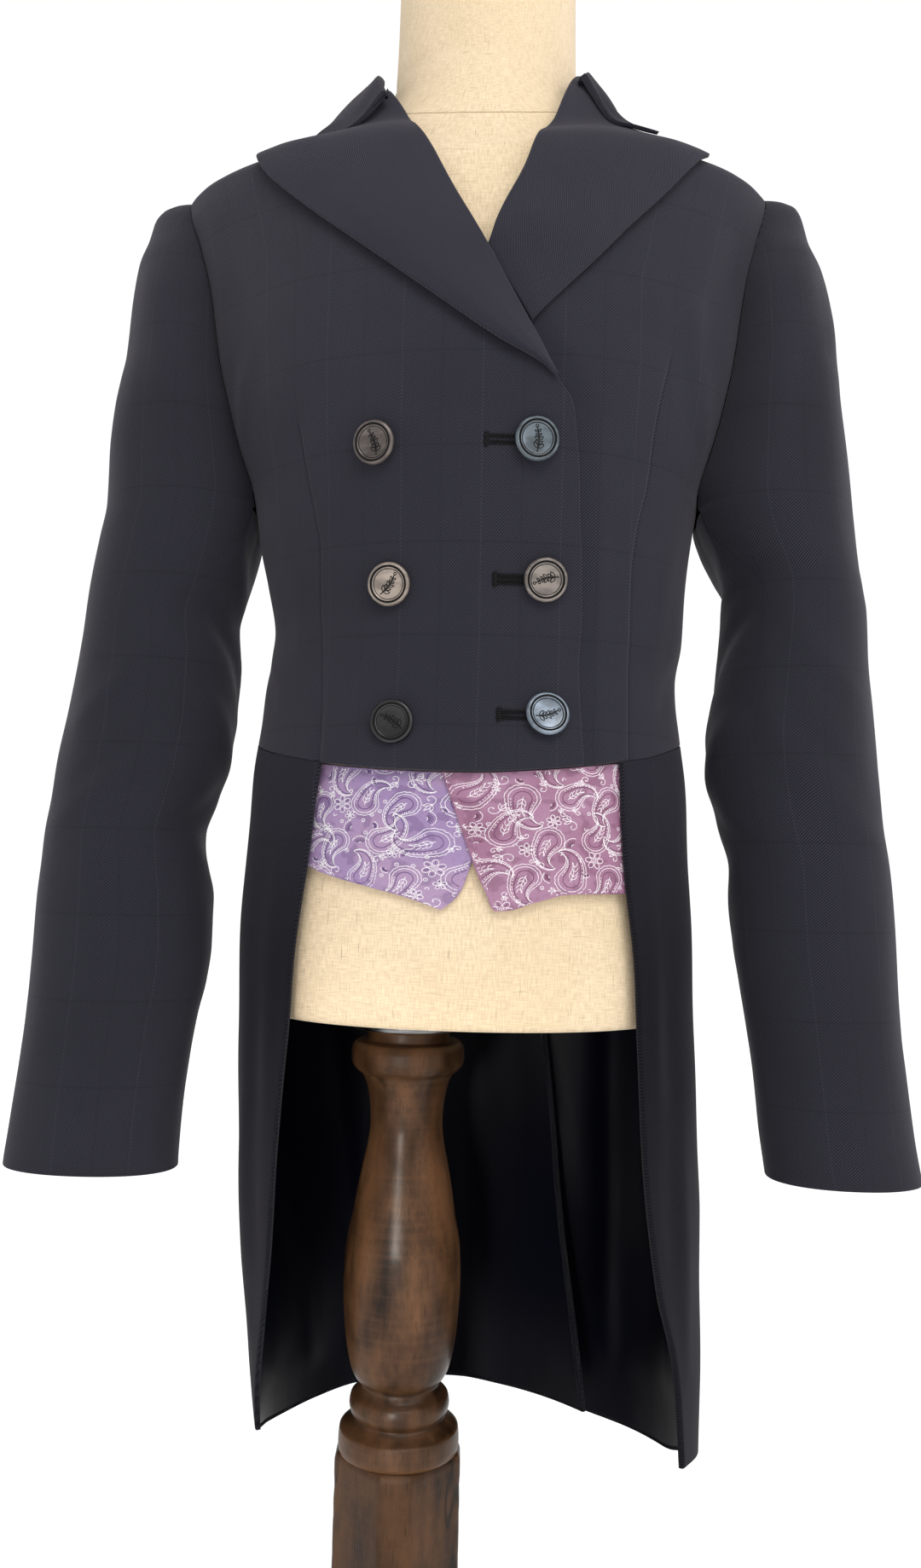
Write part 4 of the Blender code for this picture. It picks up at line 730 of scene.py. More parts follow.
def sleeve_shape(table, sign, a, z):
    """The sleeve's tube, eased near the armhole to the line where the body's cloth is sewn to it."""
    turn = np.array([-121, -114, -90, -66, -8, 50, 108, 166, 210, 246, 270])
    outward_by = np.array([4.4, 4.4, 2.6, 8.0, 3.4, 1.0, 0.6, 1.0, 2.2, 4.4, 2.6]) * -sign
    back_by = np.array([0.3, 0.3, 0.0, -2.9, -1.2, -.3, 0, 0, .2, 0.3, 0.0])
    w = soft((z - 768) / 60)
    p = arm(table, a, z)
    p[..., 0] += w * np.interp(a, turn, outward_by)
    p[..., 1] += w * np.interp(a, turn, back_by)
    return p


def tucked(p, w, middle):
    """One more column on either side, a seam allowance that dips under the neighbouring cloth."""
    n, far = grid_normals(p, middle), (1.0 + 1.5 * w)[:, None]
    left = p[:, 0] + unit(p[:, 0] - p[:, 3]) * far - n[:, 2] * 1.1
    right = p[:, -1] + unit(p[:, -1] - p[:, -4]) * far - n[:, -3] * 1.1
    return np.concatenate([left[:, None], p, right[:, None]], 1)


def cap_close(p):
    """Rows that carry the cap's top line in to the shoulder's end, a little lower each."""
    first, k = p[0], np.linspace(0.92, 0.12, 7)[:, None, None]
    line = first[:1] + (first[-1:] - first[:1]) * np.linspace(0, 1, first.shape[0])[:, None]
    out = first[None] + (line - first)[None] * k
    out[..., 2] = first[None, :, 2] - 1.6 * k[..., 0] ** 2
    return out


def sleeve_under(side, table, mat):
    """The under sleeve, from seam to seam beneath the arm."""
    sign, low = SIGN[side], table[0, 0]
    z = (low + (ARMHOLE_FOOT - low) * lines(150, ARMHOLE_FOOT - low))[::-1]
    af, ab = seam_angles(z)
    u = lines(32, 115, SEAM_ROUND)
    a = af[:, None] - 0.1 + (ab - 360 - af + 0.2)[:, None] * u
    zz = np.repeat(z[:, None], len(u), 1)
    p = sleeve_shape(table, sign, a, zz)
    _, across = spans(p)
    girth = a * SLEEVE_ARC
    name = "sleeve_%s_under" % side
    off = folds(name, girth, zz) + uneven(girth, zz, {"right": 31, "left": 37}[side], 0.4)
    off *= soft(from_edge(across, 10.0)) * soft((821 - zz) / 20) * soft((zz - low) / 10 + .3)
    panel(name, p, grid_normals(p, arm_middle(table, p)), off,
          (SEAM_ROUND, EDGE_ROUND, SEAM_ROUND, SEAM_ROUND),
          (girth * sign, zz), [mat, LINING], SLEEVE_WALL)


def arm_middle(table, p):
    """The sleeve's middle line at the height of each point."""
    z = p[..., 2]
    return np.stack([COAT_X + (column(table, z, 1) + column(table, z, 2)) / 2, column(table, z, 3), z], -1)


def tail(side, mat, lining):
    """One tail from waist seam to hem, and its lining, which keeps the same grid just inside it."""
    sign, k = SIGN[side], 1 if side == "right" else 2
    t, u = lines(126, 390)[:, None], lines(78, 330)[None, :]
    z = 690 - 395 * t * np.ones_like(u)
    for _ in range(12):
        first, last = np.abs(column(TAIL_EDGE, z, k)), np.full_like(z, 179.9)
        if side == "right":
            last = 180 + np.degrees(np.arcsin(np.clip(column(UNDERLAP, z, 1) / 133.0, 0, 0.98)))
        a = first + (last - first) * u
        top = column(WAIST, np.minimum(a, 180) * sign, 1) - 0.05
        z = top + (column(HEM, a, k) - top) * t
    a = a * sign
    p = tail_body(a, z)
    if side == "right":
        w = soft((np.abs(a) - 166) / 24.0)
        far = np.clip((np.abs(a) - 180) / np.maximum(last - 180, 1e-6), 0, 1)
        p[..., 1] -= w * (5.5 + (column(UNDERLAP, z, 2) - 5.5) * far ** 1.3)
    n = grid_normals(p, np.array([COAT_X, MIDDLE_Y, 480.0]))
    n = unit(0.5 * n + 0.25 * np.roll(n, 1, 1) + 0.25 * np.roll(n, -1, 1))
    _, across = spans(p)
    run = across + np.abs(a[:, :1]) * TAIL_ARC
    off = folds("tail_" + side, sign * run, z) + uneven(run, z, {"right": 41, "left": 43}[side], 0.5)
    off = off * soft((682 - z) / 45) * soft(across / 12)
    if side == "left":
        off = off * soft((across[:, -1:] - across) / 16)
    uv = (sign * run, z)
    panel("tail_" + side, p, n, off, (SEAM_ROUND, EDGE_ROUND, EDGE_ROUND, SEAM_ROUND), uv, mat, WALL)
    # lining: drawn in from the edges, with its own slack folds
    slack = 0.55 * uneven(run, z, {"right": 47, "left": 53}[side], 0.8) + lining_folds(side, run, z)
    slack = np.clip(slack, -2.2, 0.8) * soft(from_edge(across, 10.0)) * soft((z - 300) / 20)
    inner = draw_in(p + n * off[..., None], 2.4) - n * (WALL + 0.45 - np.minimum(slack, 0.3))[..., None]
    obj = shell("tail_lining_cloth_" + side, inner, n, lining, LINING_WALL, np.stack(uv, -1))
    cloth_piece("tail_lining_" + side, obj, inner)


# Slack upright folds of the linings: run at the top, run at the hem, width, height
SLACK = {"right": ((205, 215, 9, -1.6), (262, 250, 8, -1.8), (300, 286, 6, -1.4), (160, 172, 12, -1.2)),
         "left": ((150, 165, 12, -1.2), (205, 200, 9, -1.5), (262, 255, 7, -1.6))}


def lining_folds(side, run, z):
    """Sum of the slack folds: a bell across each slanting line."""
    share = np.clip((680 - z) / 380, 0, 1)
    out = 0.0
    for r0, r1, width, height in SLACK[side]:
        out = out + height * np.exp(-((run - r0 - (r1 - r0) * share) / width) ** 2) * soft(share * 3)
    return out


def draw_in(p, inset):
    """Moves the grid's border lines inward along the cloth by inset mm, the lines beside them less."""
    for axis in (0, 1):
        q = np.moveaxis(p, axis, 0)
        run = spans(q)[0]
        goal = inset + run * (run[-1:] - 2 * inset) / run[-1:]
        p = np.stack([np.stack([np.interp(goal[:, j], run[:, j], q[:, j, c]) for c in range(3)], -1)
                      for j in range(q.shape[1])], 1)
        p = np.moveaxis(p, 0, axis)
    return p


def point_grid(side, rows, cols):
    """Angles and heights of one waistcoat point, share t down and s across."""
    low = POINT_RIGHT if side == "right" else POINT_LEFT
    t, s = lines(rows, 70), lines(cols, 100)
    left = np.full(len(t), -52.0) if side == "right" else column(POINT_SIDE, t, 2)
    right = column(POINT_SIDE, t, 1) if side == "right" else np.full(len(t), 54.0)
    a = left[:, None] + (right - left)[:, None] * s
    a = a + (t[:, None] ** 3) * (column(low, s, 1) - a[-1])[None, :]
    top = column(WAIST, a[0], 1) - 0.4
    return a, top[None, :] + (column(low, s, 2) - top)[None, :] * t[:, None]


def point_plan(side, rows, cols):
    """The same grid laid flat in mm: across, up."""
    a, z = point_grid(side, rows, cols)
    return np.stack([a * POINT_ARC, z], -1)


def point_surface(side, a, z):
    """Point and normal of a waistcoat point's cloth at an angle and a height."""
    inset, seed = {"right": (5.9, 59), "left": (4.3, 61)}[side]
    n, s = normals_of(body, a, z), a * POINT_ARC
    off = folds("point_" + side, s, z) + uneven(s, z, seed, 0.18) - inset
    return body(a, z) + n * off[..., None], n


def point(side, mat):
    """One waistcoat point, a thin sheet just inside the coat's front."""
    a, z = point_grid(side, 56, 76)
    p, n = point_surface(side, a, z)
    p = rounded(p, n, (0, 0.6, 0.6, 0.6))
    return shell("waistcoat_point_" + side, p, n, mat, POINT_WALL, np.stack([a * POINT_ARC, z], -1)), p


# Jacquard and stitching

# Width and height in mm of the two threads of the woven design
THREADS = {"pale": (0.5, 0.10), "deep": (0.85, 0.06)}


def polar(a, r=1.0):
    """Flat points at angle a and distance r."""
    return np.stack([np.cos(a) * r, np.sin(a) * r], -1)


def left_of(v):
    """Flat directions turned a quarter turn to the left."""
    return np.stack([-v[..., 1], v[..., 0]], -1)


def circle(c, r, count=17):
    """A closed circle of points."""
    return np.array(c) + polar(np.linspace(0, 2 * math.pi, count), r)


def spine(turn, length, curl, count=40):
    """A curling line: its direction turns by curl, slowly at first and faster towards the tip."""
    phi = turn + curl * np.linspace(0, 1, count) ** 1.8
    step = polar(phi) * length / (count - 1)
    return np.concatenate([[[0, 0]], step[:-1].cumsum(0)]), phi


def drop(turn, length, curl, size, scallops=0):
    """A curled drop's outline: a round head narrowing along its spine to a point; scallops wave its edge."""
    c, phi = spine(turn, length, curl)
    s = np.linspace(0, 1, len(c))
    w = 0.36 * length * size * (1 - s) ** 0.8 * (1 + 0.07 * np.abs(np.sin(s * math.pi * scallops)))
    side = left_of(polar(phi)) * w[:, None]
    head = np.linspace(phi[0] + math.pi / 2, phi[0] + 1.5 * math.pi, 26)
    wave = 1 + 0.07 * np.abs(np.sin(np.linspace(0, math.pi * scallops * 0.6, 26)))
    return np.concatenate([polar(head, w[0] * wave), (c - side)[1:], (c + side)[::-1]])


def motif_drop(turn, length, flip):
    """A curled drop with two outlines, a row of dots between them and a small leaf inside."""
    curl = 2.3 * flip
    items = [("pale", drop(turn, length, curl, 1.0, 13)), ("pale", drop(turn, length * 0.99, curl, 0.84)),
             ("deep", drop(turn, length * 0.97, curl, 0.55))]
    c, phi = spine(turn, length, curl)

    def at(s):
        i = int(s * (len(c) - 1))
        return c[i], polar(phi[i]), left_of(polar(phi[i]))
    for s in np.linspace(0.06, 0.62, 9):
        here, _, side = at(s)
        w = 0.36 * length * (1 - s) ** 0.8 * 0.70
        items += [("dot", here + side * w * d, 0.42) for d in (-1, 1)]
    for s in (0.0, 0.12, 0.24, 0.36):
        here, ahead, side = at(s)
        w = 0.10 * length * (1 - s)
        items += [("pale", here + w * np.array([0 * side, ahead * .7 + side * .8 * d,
                                                ahead * 1.7 + side * .9 * d]))
                  for d in (-1, 1)]
    items.append(("pale", c[:22] - 0.06 * length * polar(turn)))
    return items


def motif_flower(turn, size, petals):
    """A round flower: outlined petals about a ring, each with one short vein."""
    items = [("pale", circle((0, 0), size * 0.2)), ("dot", np.zeros(2), 0.4)]
    t = np.linspace(0, 2 * math.pi, 17)
    for k in range(petals):
        u = polar(turn + 2 * math.pi * k / petals)
        petal = ((size * (0.64 + 0.34 * np.cos(t)))[:, None] * u
                 + (size * 0.27 * np.sin(t))[:, None] * left_of(u))
        items += [("pale", petal), ("deep", np.array([u * size * .45, u * size * .8]))]
    return items


def motif_scroll(turn, size, flip):
    """A spiral that opens into a stem with three small leaves."""
    t = np.linspace(0, 1, 40)
    line = polar(turn + flip * 5.2 * (1 - t) ** 1.1, size * (0.1 + 0.45 * t))
    items = [("pale", line), ("dot", line[0], 0.5)]
    end, d = line[-1], unit(line[-1] - line[-4])
    for f, g in ((0.9, 0.0), (0.6, 0.45), (0.6, -0.45)):
        tip = end + size * (d * f + left_of(d) * g)
        mid, m = (end + tip) / 2, left_of(unit(tip - end)) * size * 0.13
        items.append(("pale", np.array([end, mid + m, tip, mid - m, end])))
    return items


def motif_fan(turn, size):
    """A fan of seven strokes under two arcs."""
    items = [("deep", polar(a, np.array([.25, .72]) * size)) for a in turn + np.linspace(-0.95, 0.95, 7)]
    b = turn + np.linspace(-1.1, 1.1, 40)
    wave = 0.86 + 0.07 * np.abs(np.sin(np.linspace(0, 7 * math.pi, 40)))
    return items + [("pale", polar(b, wave * size)), ("pale", polar(b, size * 0.22))]


def layout(seed, x0, x1, z0, z1):
    """Own all-over layout: large drops on a slanted lattice, smaller motifs thrown into what is left."""
    r = np.random.default_rng(seed)
    taken, items = [], []

    def free(c, rad):
        return all(math.hypot(c[0] - q[0], c[1] - q[1]) > rad + reach for q, reach in taken)

    def put(parts, c):
        for part in parts:
            items.append((part[0], part[1] + c) + tuple(part[2:]))
    for row in range(-1, 4):
        for k in range(-1, 6):
            c = np.array([x0 + 20 * k + 10 * (row % 2) + r.uniform(-1.6, 1.6),
                          z1 - 5 - 20 * row + r.uniform(-1.6, 1.6)])
            turn = r.uniform(-0.5, 0.5) + (0.9 if (row + k) % 2 else -2.2)
            flip = 1 if (k + row) % 3 else -1
            put(motif_drop(turn, 18.5 + r.uniform(-1.5, 1.5), flip), c)
            for far, bend, reach in ((0.0, 0.0, 5.6), (7.0, 0.5, 4.0), (12.0, 1.1, 1.6)):
                taken.append((c + far * polar(turn + bend * flip), reach))
    for size, tries in ((4.6, 300), (3.5, 700), (2.6, 1400), (1.8, 3000)):
        for _ in range(tries):
            c = np.array([r.uniform(x0, x1), r.uniform(z0, z1)])
            kind, turn, flip = r.integers(4), r.uniform(0, 6.28), r.choice((-1, 1))
            if not free(c, size * 0.86):
                continue
            taken.append((c, size))
            if size < 2.5:
                put([("pale", circle((0, 0), size * .45)), ("dot", np.zeros(2), .35)] if kind < 2 else
                    motif_scroll(turn, size * 1.2, flip)[:1], c)
            elif kind == 0:
                put(motif_flower(turn, size, 5 + int(size > 3)), c)
            elif kind == 1:
                put(motif_fan(turn, size), c)
            else:
                put(motif_scroll(turn, size * 1.15, flip), c)
    return items


def inside(poly, q):
    """True where the points q lie in a closed outline, by counting the outline's crossings to one side."""
    a, b = poly[:, None], np.roll(poly, -1, 0)[:, None]
    above = (a[..., 1] > q[:, 1]) != (b[..., 1] > q[:, 1])
    rise = np.where(b[..., 1] == a[..., 1], 1e-9, b[..., 1] - a[..., 1])
    cross = a[..., 0] + (q[:, 1] - a[..., 1]) / rise * (b[..., 0] - a[..., 0])
    return (above & (q[:, 0] < cross)).sum(0) % 2 == 1


def resample(line, step):
    """The line cut into even pieces about step long."""
    d = run_of(line)
    g = np.linspace(0, d[-1], max(int(d[-1] / step), 1) + 1)
    return np.stack([np.interp(g, d, line[:, j]) for j in range(line.shape[1])], -1)


def ribbon(p, n, width, height, sink=0.05):
    """A raised thread along p: two borders sunk into the cloth and a crest between them."""
    side = unit(np.cross(n, unit(np.gradient(p, axis=0)))) * (width / 2)
    v = np.stack([p + side - n * sink, p + n * height, p - side - n * sink], 1)
    return v.reshape(-1, 3), quads(len(p), 3)


def joined(parts):
    """Stacks (points, faces) pairs into one."""
    v, f, k = [], [], 0
    for points, faces in parts:
        v.append(points)
        f.append(faces + k)
        k += len(points)
    return np.concatenate(v), np.concatenate(f)


def jacquard(side, seed, mats):
    """The woven design of one point: pale lines, deeper lines and dots, laid on the cloth's own surface."""
    border = rim(point_plan(side, 30, 40))
    outline = border - unit(border - border.mean(0)) * 0.5
    (x0, z0), (x1, z1) = border.min(0), border.max(0)
    made = {"pale": [], "deep": []}
    for item in layout(seed, x0, x1, z0, z1):
        if item[0] == "dot":
            kind, width, line = "pale", item[2], resample(circle(item[1], item[2] * 0.5, 9), 0.3)
        else:
            kind, width, line = item[0], THREADS[item[0]][0], resample(item[1], 0.55)
        keep = inside(outline, line).astype(int)
        cut = np.flatnonzero(np.diff(np.concatenate([[0], keep, [0]])))
        for i, j in zip(cut[::2], cut[1::2]):
            if j - i > 1:
                p, n = point_surface(side, line[i:j, 0] / POINT_ARC, line[i:j, 1])
                made[kind].append(ribbon(p, n, width, THREADS[kind][1]))
    both = [joined(made[kind]) for kind in THREADS]
    return mesh_piece("jacquard_" + side, *joined(both), mats, None,
                      np.repeat([0, 1], [len(f) for _, f in both]))


def bead(centre, along, up, length, width, height, rings=5, seg=8):
    """A small stitch: a rounded bead lying along one direction, its ends drawn in."""
    t = np.linspace(0, math.pi, rings)[:, None]
    a = np.linspace(0, 2 * math.pi, seg, endpoint=False)[None, :]
    side = unit(np.cross(up, along))
    r = np.sin(t) ** 0.6
    p = centre + along * (-np.cos(t) * length / 2)[..., None] + side * (r * np.cos(a) * width / 2)[..., None]
    p = p + up * (r * np.sin(a) * height / 2)[..., None]
    return p.reshape(-1, 3), quads(rings, seg, True)


def edge_stitches(side, mat):
    """Running stitches 2.2 mm inside the free edges of a point: each 2.3 mm long, 0.9 mm apart."""
    g = point_plan(side, 60, 80)
    line = resample(np.concatenate([g[1:, -1], g[-1, ::-1]] if side == "right" else [g[1:, 0], g[-1]]), 0.4)
    padded = np.pad(line, ((4, 4), (0, 0)), mode="edge")
    line = np.stack([np.convolve(padded[:, j], np.ones(9) / 9, "valid") for j in range(2)], -1)
    inward = -left_of(unit(np.gradient(line, axis=0)))
    if np.sum(inward * (g.mean((0, 1)) - line)) < 0:
        inward = -inward
    line = resample(line + inward * 2.2, 3.2)[1:-1]
    p, n = point_surface(side, line[:, 0] / POINT_ARC, line[:, 1])
    t = unit(np.gradient(p, axis=0))
    parts = [bead(q + up * 0.1, along, up, 2.3, 0.5, 0.36) for q, along, up in zip(p, t, n)]
    return mesh_piece("edge_stitches_" + side, *joined(parts), mat)


# Buttons and buttonholes

def front_frame(x, z):
    """Point of the right front at x, z with the directions across, up and out of the cloth."""
    x, z = np.array(float(x)), np.array(float(z))
    n = normals_of(body_at, x, z, 2.0, 2.0)
    n = -n if n[1] > 0 else n
    u = unit(np.cross(np.array([0, 0, 1.0]), n))
    u = u if u[0] > 0 else -u
    return body_at(x, z), u, unit(np.cross(n, u)), n


def button(name, x, z, turn, lean, mat, ink):
    """A turned button: raised double rim with a groove, dished face and a generic leafy sprig cut into it."""
    p, u, w, n = front_frame(x, z)
    n = unit(n + u * math.radians(lean[0]) + w * math.radians(lean[1]))
    u = unit(u - n * (u @ n))
    w = np.cross(n, u)
    w = w if w[2] > 0 else -w
    r, seg = BUTTON_R, 72
    knots = np.array([
        (0.03, 0.5), (r - 4.0, 0.5), (r - 1.2, 1.1), (r - .25, 1.9), (r, 2.6), (r - .15, 3.4), (r - .55, 4.0),
        (r - 1.1, 4.35), (r - 1.6, 4.3), (r - 1.95, 4.0), (r - 2.2, 3.75), (r - 2.45, 3.85), (r - 2.75, 4.1),
        (r - 3.05, 4.05), (r - 3.35, 3.75), (r - 4.2, 3.5), (r - 6, 3.32), (r - 8, 3.22), (0.01, 3.15)])
    d = run_of(knots)
    g = np.unique(np.concatenate([np.linspace(0, d[-1], 70), d]))
    radius, height = np.interp(g, d, knots[:, 0]), column(np.column_stack([d, knots]), g, 2)
    around = polar(np.linspace(0, 2 * math.pi, seg, endpoint=False)) @ np.array([u, w])
    grid = p + n * height[:, None, None] + around[None] * radius[:, None, None]
    radius, height = radius[:-1].repeat(seg), height[:-1].repeat(seg)
    groove = ((np.abs(radius - (r - 1.95)) < 0.62) | (np.abs(radius - (r - 3.45)) < 0.24)) & (height > 3)
    obj = tube(name + "_turned", grid, [mat, ink], None, np.append(groove, [0, 0]))
    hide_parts(name)
    sprig(name, p + n * 3.0, u, w, n, turn, ink)
    return mesh_piece(name + "_thread", *bead(p + n * 0.2, u, n, 5.0, 5.0, 2.4, 7, 12), ink)


def sprig(name, p, u, w, n, turn, ink):
    """Engraved sprig: a bowed stem, five pairs of pointed leaves growing smaller, and a bud."""
    t, q = np.linspace(0, 1, 20), np.linspace(0, 1, 9)[:, None]
    stem = np.stack([1.3 * np.sin(t * 2.6) - 0.6, -5.8 + 10.6 * t], -1)
    strokes = [(stem, 0.62)]
    for k in range(5):
        i = 3 + 3 * k
        d = unit(stem[i + 1] - stem[i])
        for way in (-1, 1):
            size = (3.1 - 0.32 * k) * (1.0 if (k + way) % 2 else 0.8)
            b = polar(math.atan2(d[1], d[0]) + way * 0.85)
            line, bow = q * b * size, np.sin(q * math.pi) * left_of(b) * size * .22
            strokes.append((stem[i] + np.concatenate([line + bow, (line - bow)[::-1]]), 0.5))
    strokes.append((circle(stem[-1] + [0.1, 0.6], 0.6, 11), 0.5))
    ahead = polar(math.radians(turn))
    parts = []
    for line, width in strokes:
        q = resample((line[:, :1] * ahead + line[:, 1:] * left_of(ahead)) * 1.18, 0.35)
        h = np.interp(np.linalg.norm(q, axis=1), [0, 3.5, 5.5, 7.3], [0.15, 0.22, 0.32, 0.5]) + 0.05
        pts = p + u * q[:, :1] + w * q[:, 1:] + n * h[:, None]
        parts.append(ribbon(pts, np.repeat(n[None], len(pts), 0), width, 0.03, 0.03))
    return mesh_piece(name + "_sprig", *joined(parts), ink)


def buttonhole(k, x0, x1, z, mat, dark):
    """A worked buttonhole: a dark slit, a black ribbon of painted shade where the cloth is cut, purl stitches
    above and below it, and a bar across its end.
    """
    parts = []
    count = int((x1 - x0) / 0.95)
    for i in range(count):
        x = x0 + 1.2 + (x1 - x0 - 1.2) * i / count
        for d in (-1, 1):
            p, u, w, n = front_frame(x, z + d * (1.95 + 0.15 * math.sin(i * 2.3 + d)))
            parts.append(bead(p + n * 0.25, unit(w * d + u * 0.25), n, 2.3, 0.82, 0.8))
            parts.append(bead(p + n * 0.45 - w * d * 1.05, u, n, 0.95, 0.75, 0.9))
    for i in range(9):
        p, u, w, n = front_frame(x0 + 0.35 * math.sin(i * 1.9), z - 3.4 + 6.8 * i / 8)
        parts.append(bead(p + n * 0.35, unit(u + w * 0.12), n, 2.9, 0.95, 1.1))
    obj = mesh_piece("buttonhole_%d" % k, *joined(parts), mat)
    frames = [front_frame(x, z) for x in np.linspace(x0, x1, 24)]
    p, n = [np.array([q[j] for q in frames]) for j in (0, 3)]
    # painted shade: a black ribbon laid along the slit stands for the dark opening
    mesh_piece("buttonhole_slit_%d" % k, *ribbon(p, n, 2.2, 0.06, 0.02), dark)
    return obj


# Form and stand

def dress_form(mat, seam_mat):
    """The form: the coat's body drawn in by the gap, round at its lower edge and at the top of its neck."""
    low, high, edge = 533.0, 1190.0, 5.0
    z = low + (high - low) * lines(150, high - low, 3.0)
    a = np.linspace(-180, 180, 129)[:-1]
    aa, zz = np.meshgrid(a, z)
    ahead = (1 + np.cos(np.radians(aa))) / 2
    gap = column(FORM_GAP, zz, 1) * ahead + column(FORM_GAP, zz, 2) * (1 - ahead)
    n = normals_of(body, aa, zz)
    n = np.where(((zz < 700) | (zz > 1100))[..., None], unit(n * [1, 1, 0]), n)
    for near in (zz - low, high - zz):
        gap = gap + edge * (1 - np.sqrt(1 - np.clip(1 - near / edge, 0, 1) ** 2))
    gap = gap - 2.0 * soft((zz - 1068) / 16)
    p = body(aa, zz) - n * gap[..., None]
    grid = np.concatenate([closing(p[0], (0.08, 0.4, 0.72)), p, closing(p[-1], (0.72, 0.4, 0.08))])
    uv = np.stack([np.repeat(a[None] * FORM_ARC, len(grid), 0), grid[..., 2]], -1).reshape(-1, 2)
    solid_piece("form_linen", "dress_form", grid, mat, uv)
    around = np.append(a, 180)
    level = NECK_SEAM + 28 * np.sin(np.radians(np.minimum(np.abs(around), 90))) ** 2
    row = np.array([[np.interp(h, z, p[:, i % len(a), j]) for j in range(3)] for i, h in enumerate(level)])
    seam = ribbon(row, unit((row - [COAT_X, 0, 0]) * [1, 1, 0]), 0.55, 0.1, 0.02)
    mesh_piece("form_neck_seam", *seam, seam_mat)


def turned_piece(name, node, prof, seg, mat, wobble=0.0, step=2.0):
    """A turned solid: the profile's rows joined smoothly by running length, closed at both ends."""
    prof = np.array(prof, float)
    d = run_of(prof)
    g = np.unique(np.concatenate([np.arange(0, d[-1], step), d]).round(4))
    r, z = [column(np.column_stack([d, prof]), g, k) for k in (1, 2)]
    aa, zz = np.meshgrid(np.linspace(0, 2 * math.pi, seg, endpoint=False), z)
    rr = r[:, None] + wobble * np.cos(3 * aa + zz / 40) + wobble * np.cos(7 * aa - zz / 23) * 0.5
    grid = np.stack([rr * np.cos(aa), rr * np.sin(aa), zz], -1)
    solid_piece(name, node, np.concatenate([closing(grid[0], (0.4,)), grid, closing(grid[-1], (0.4,))]),
                mat)


def block(mat):
    """The square block below the turning: corners cut to flats, arrises rubbed and slightly uneven."""
    h, cut, r, low, high = 31.0, 17.0 / math.sqrt(2), 1.6, 28.3, 288.0
    c = np.array([(h, -h + cut), (h, h - cut), (h - cut, h), (-h + cut, h), (-h, h - cut), (-h, -h + cut),
                  (-h + cut, -h), (h - cut, -h)])
    path = []
    for a, b, d in zip(np.roll(c, 1, 0), c, np.roll(c, -1, 0)):
        u, w = unit(a - b), unit(d - b)
        t = np.linspace(0, 1, 6)[:, None]
        path.append((b + u * r) * (1 - t) ** 2 + b * 2 * t * (1 - t) + (b + w * r) * t ** 2)
        t = np.linspace(0, 1, 9)[1:-1, None]
        path.append((b + w * r) * (1 - t) + (d - w * r) * t)
    path = np.concatenate(path)
    z = low + (high - low) * lines(90, 260, 2.0)
    k = 1 - 0.09 * (1 - np.sqrt(1 - np.clip(1 - (high - z) / 5.0, 0, 1) ** 2))
    k = k - 0.03 * np.clip(1 - (z - low) / 1.5, 0, 1) ** 2
    edge = np.linalg.norm(path, axis=1)
    rub = (np.clip((edge - 33.0) / 4.0, 0, 1)[None, :]
           * (0.35 * np.cos(z / 7.0) + 0.3 * np.cos(z / 2.9 + 1))[:, None])
    scale = k[:, None] - np.clip(rub, 0, 1) / 40.0
    ahead = polar(math.radians(48))
    xy = path[:, :1] * ahead + path[:, 1:] * left_of(ahead)
    grid = np.concatenate([xy[None] * scale[..., None], np.repeat(z[:, None], len(xy), 1)[..., None]], -1)
    grid = np.concatenate([closing(grid[0], (0.5,)), grid, closing(grid[-1], (0.5,))])
    solid_piece("stand_block", "post_block", grid, mat)


# Materials

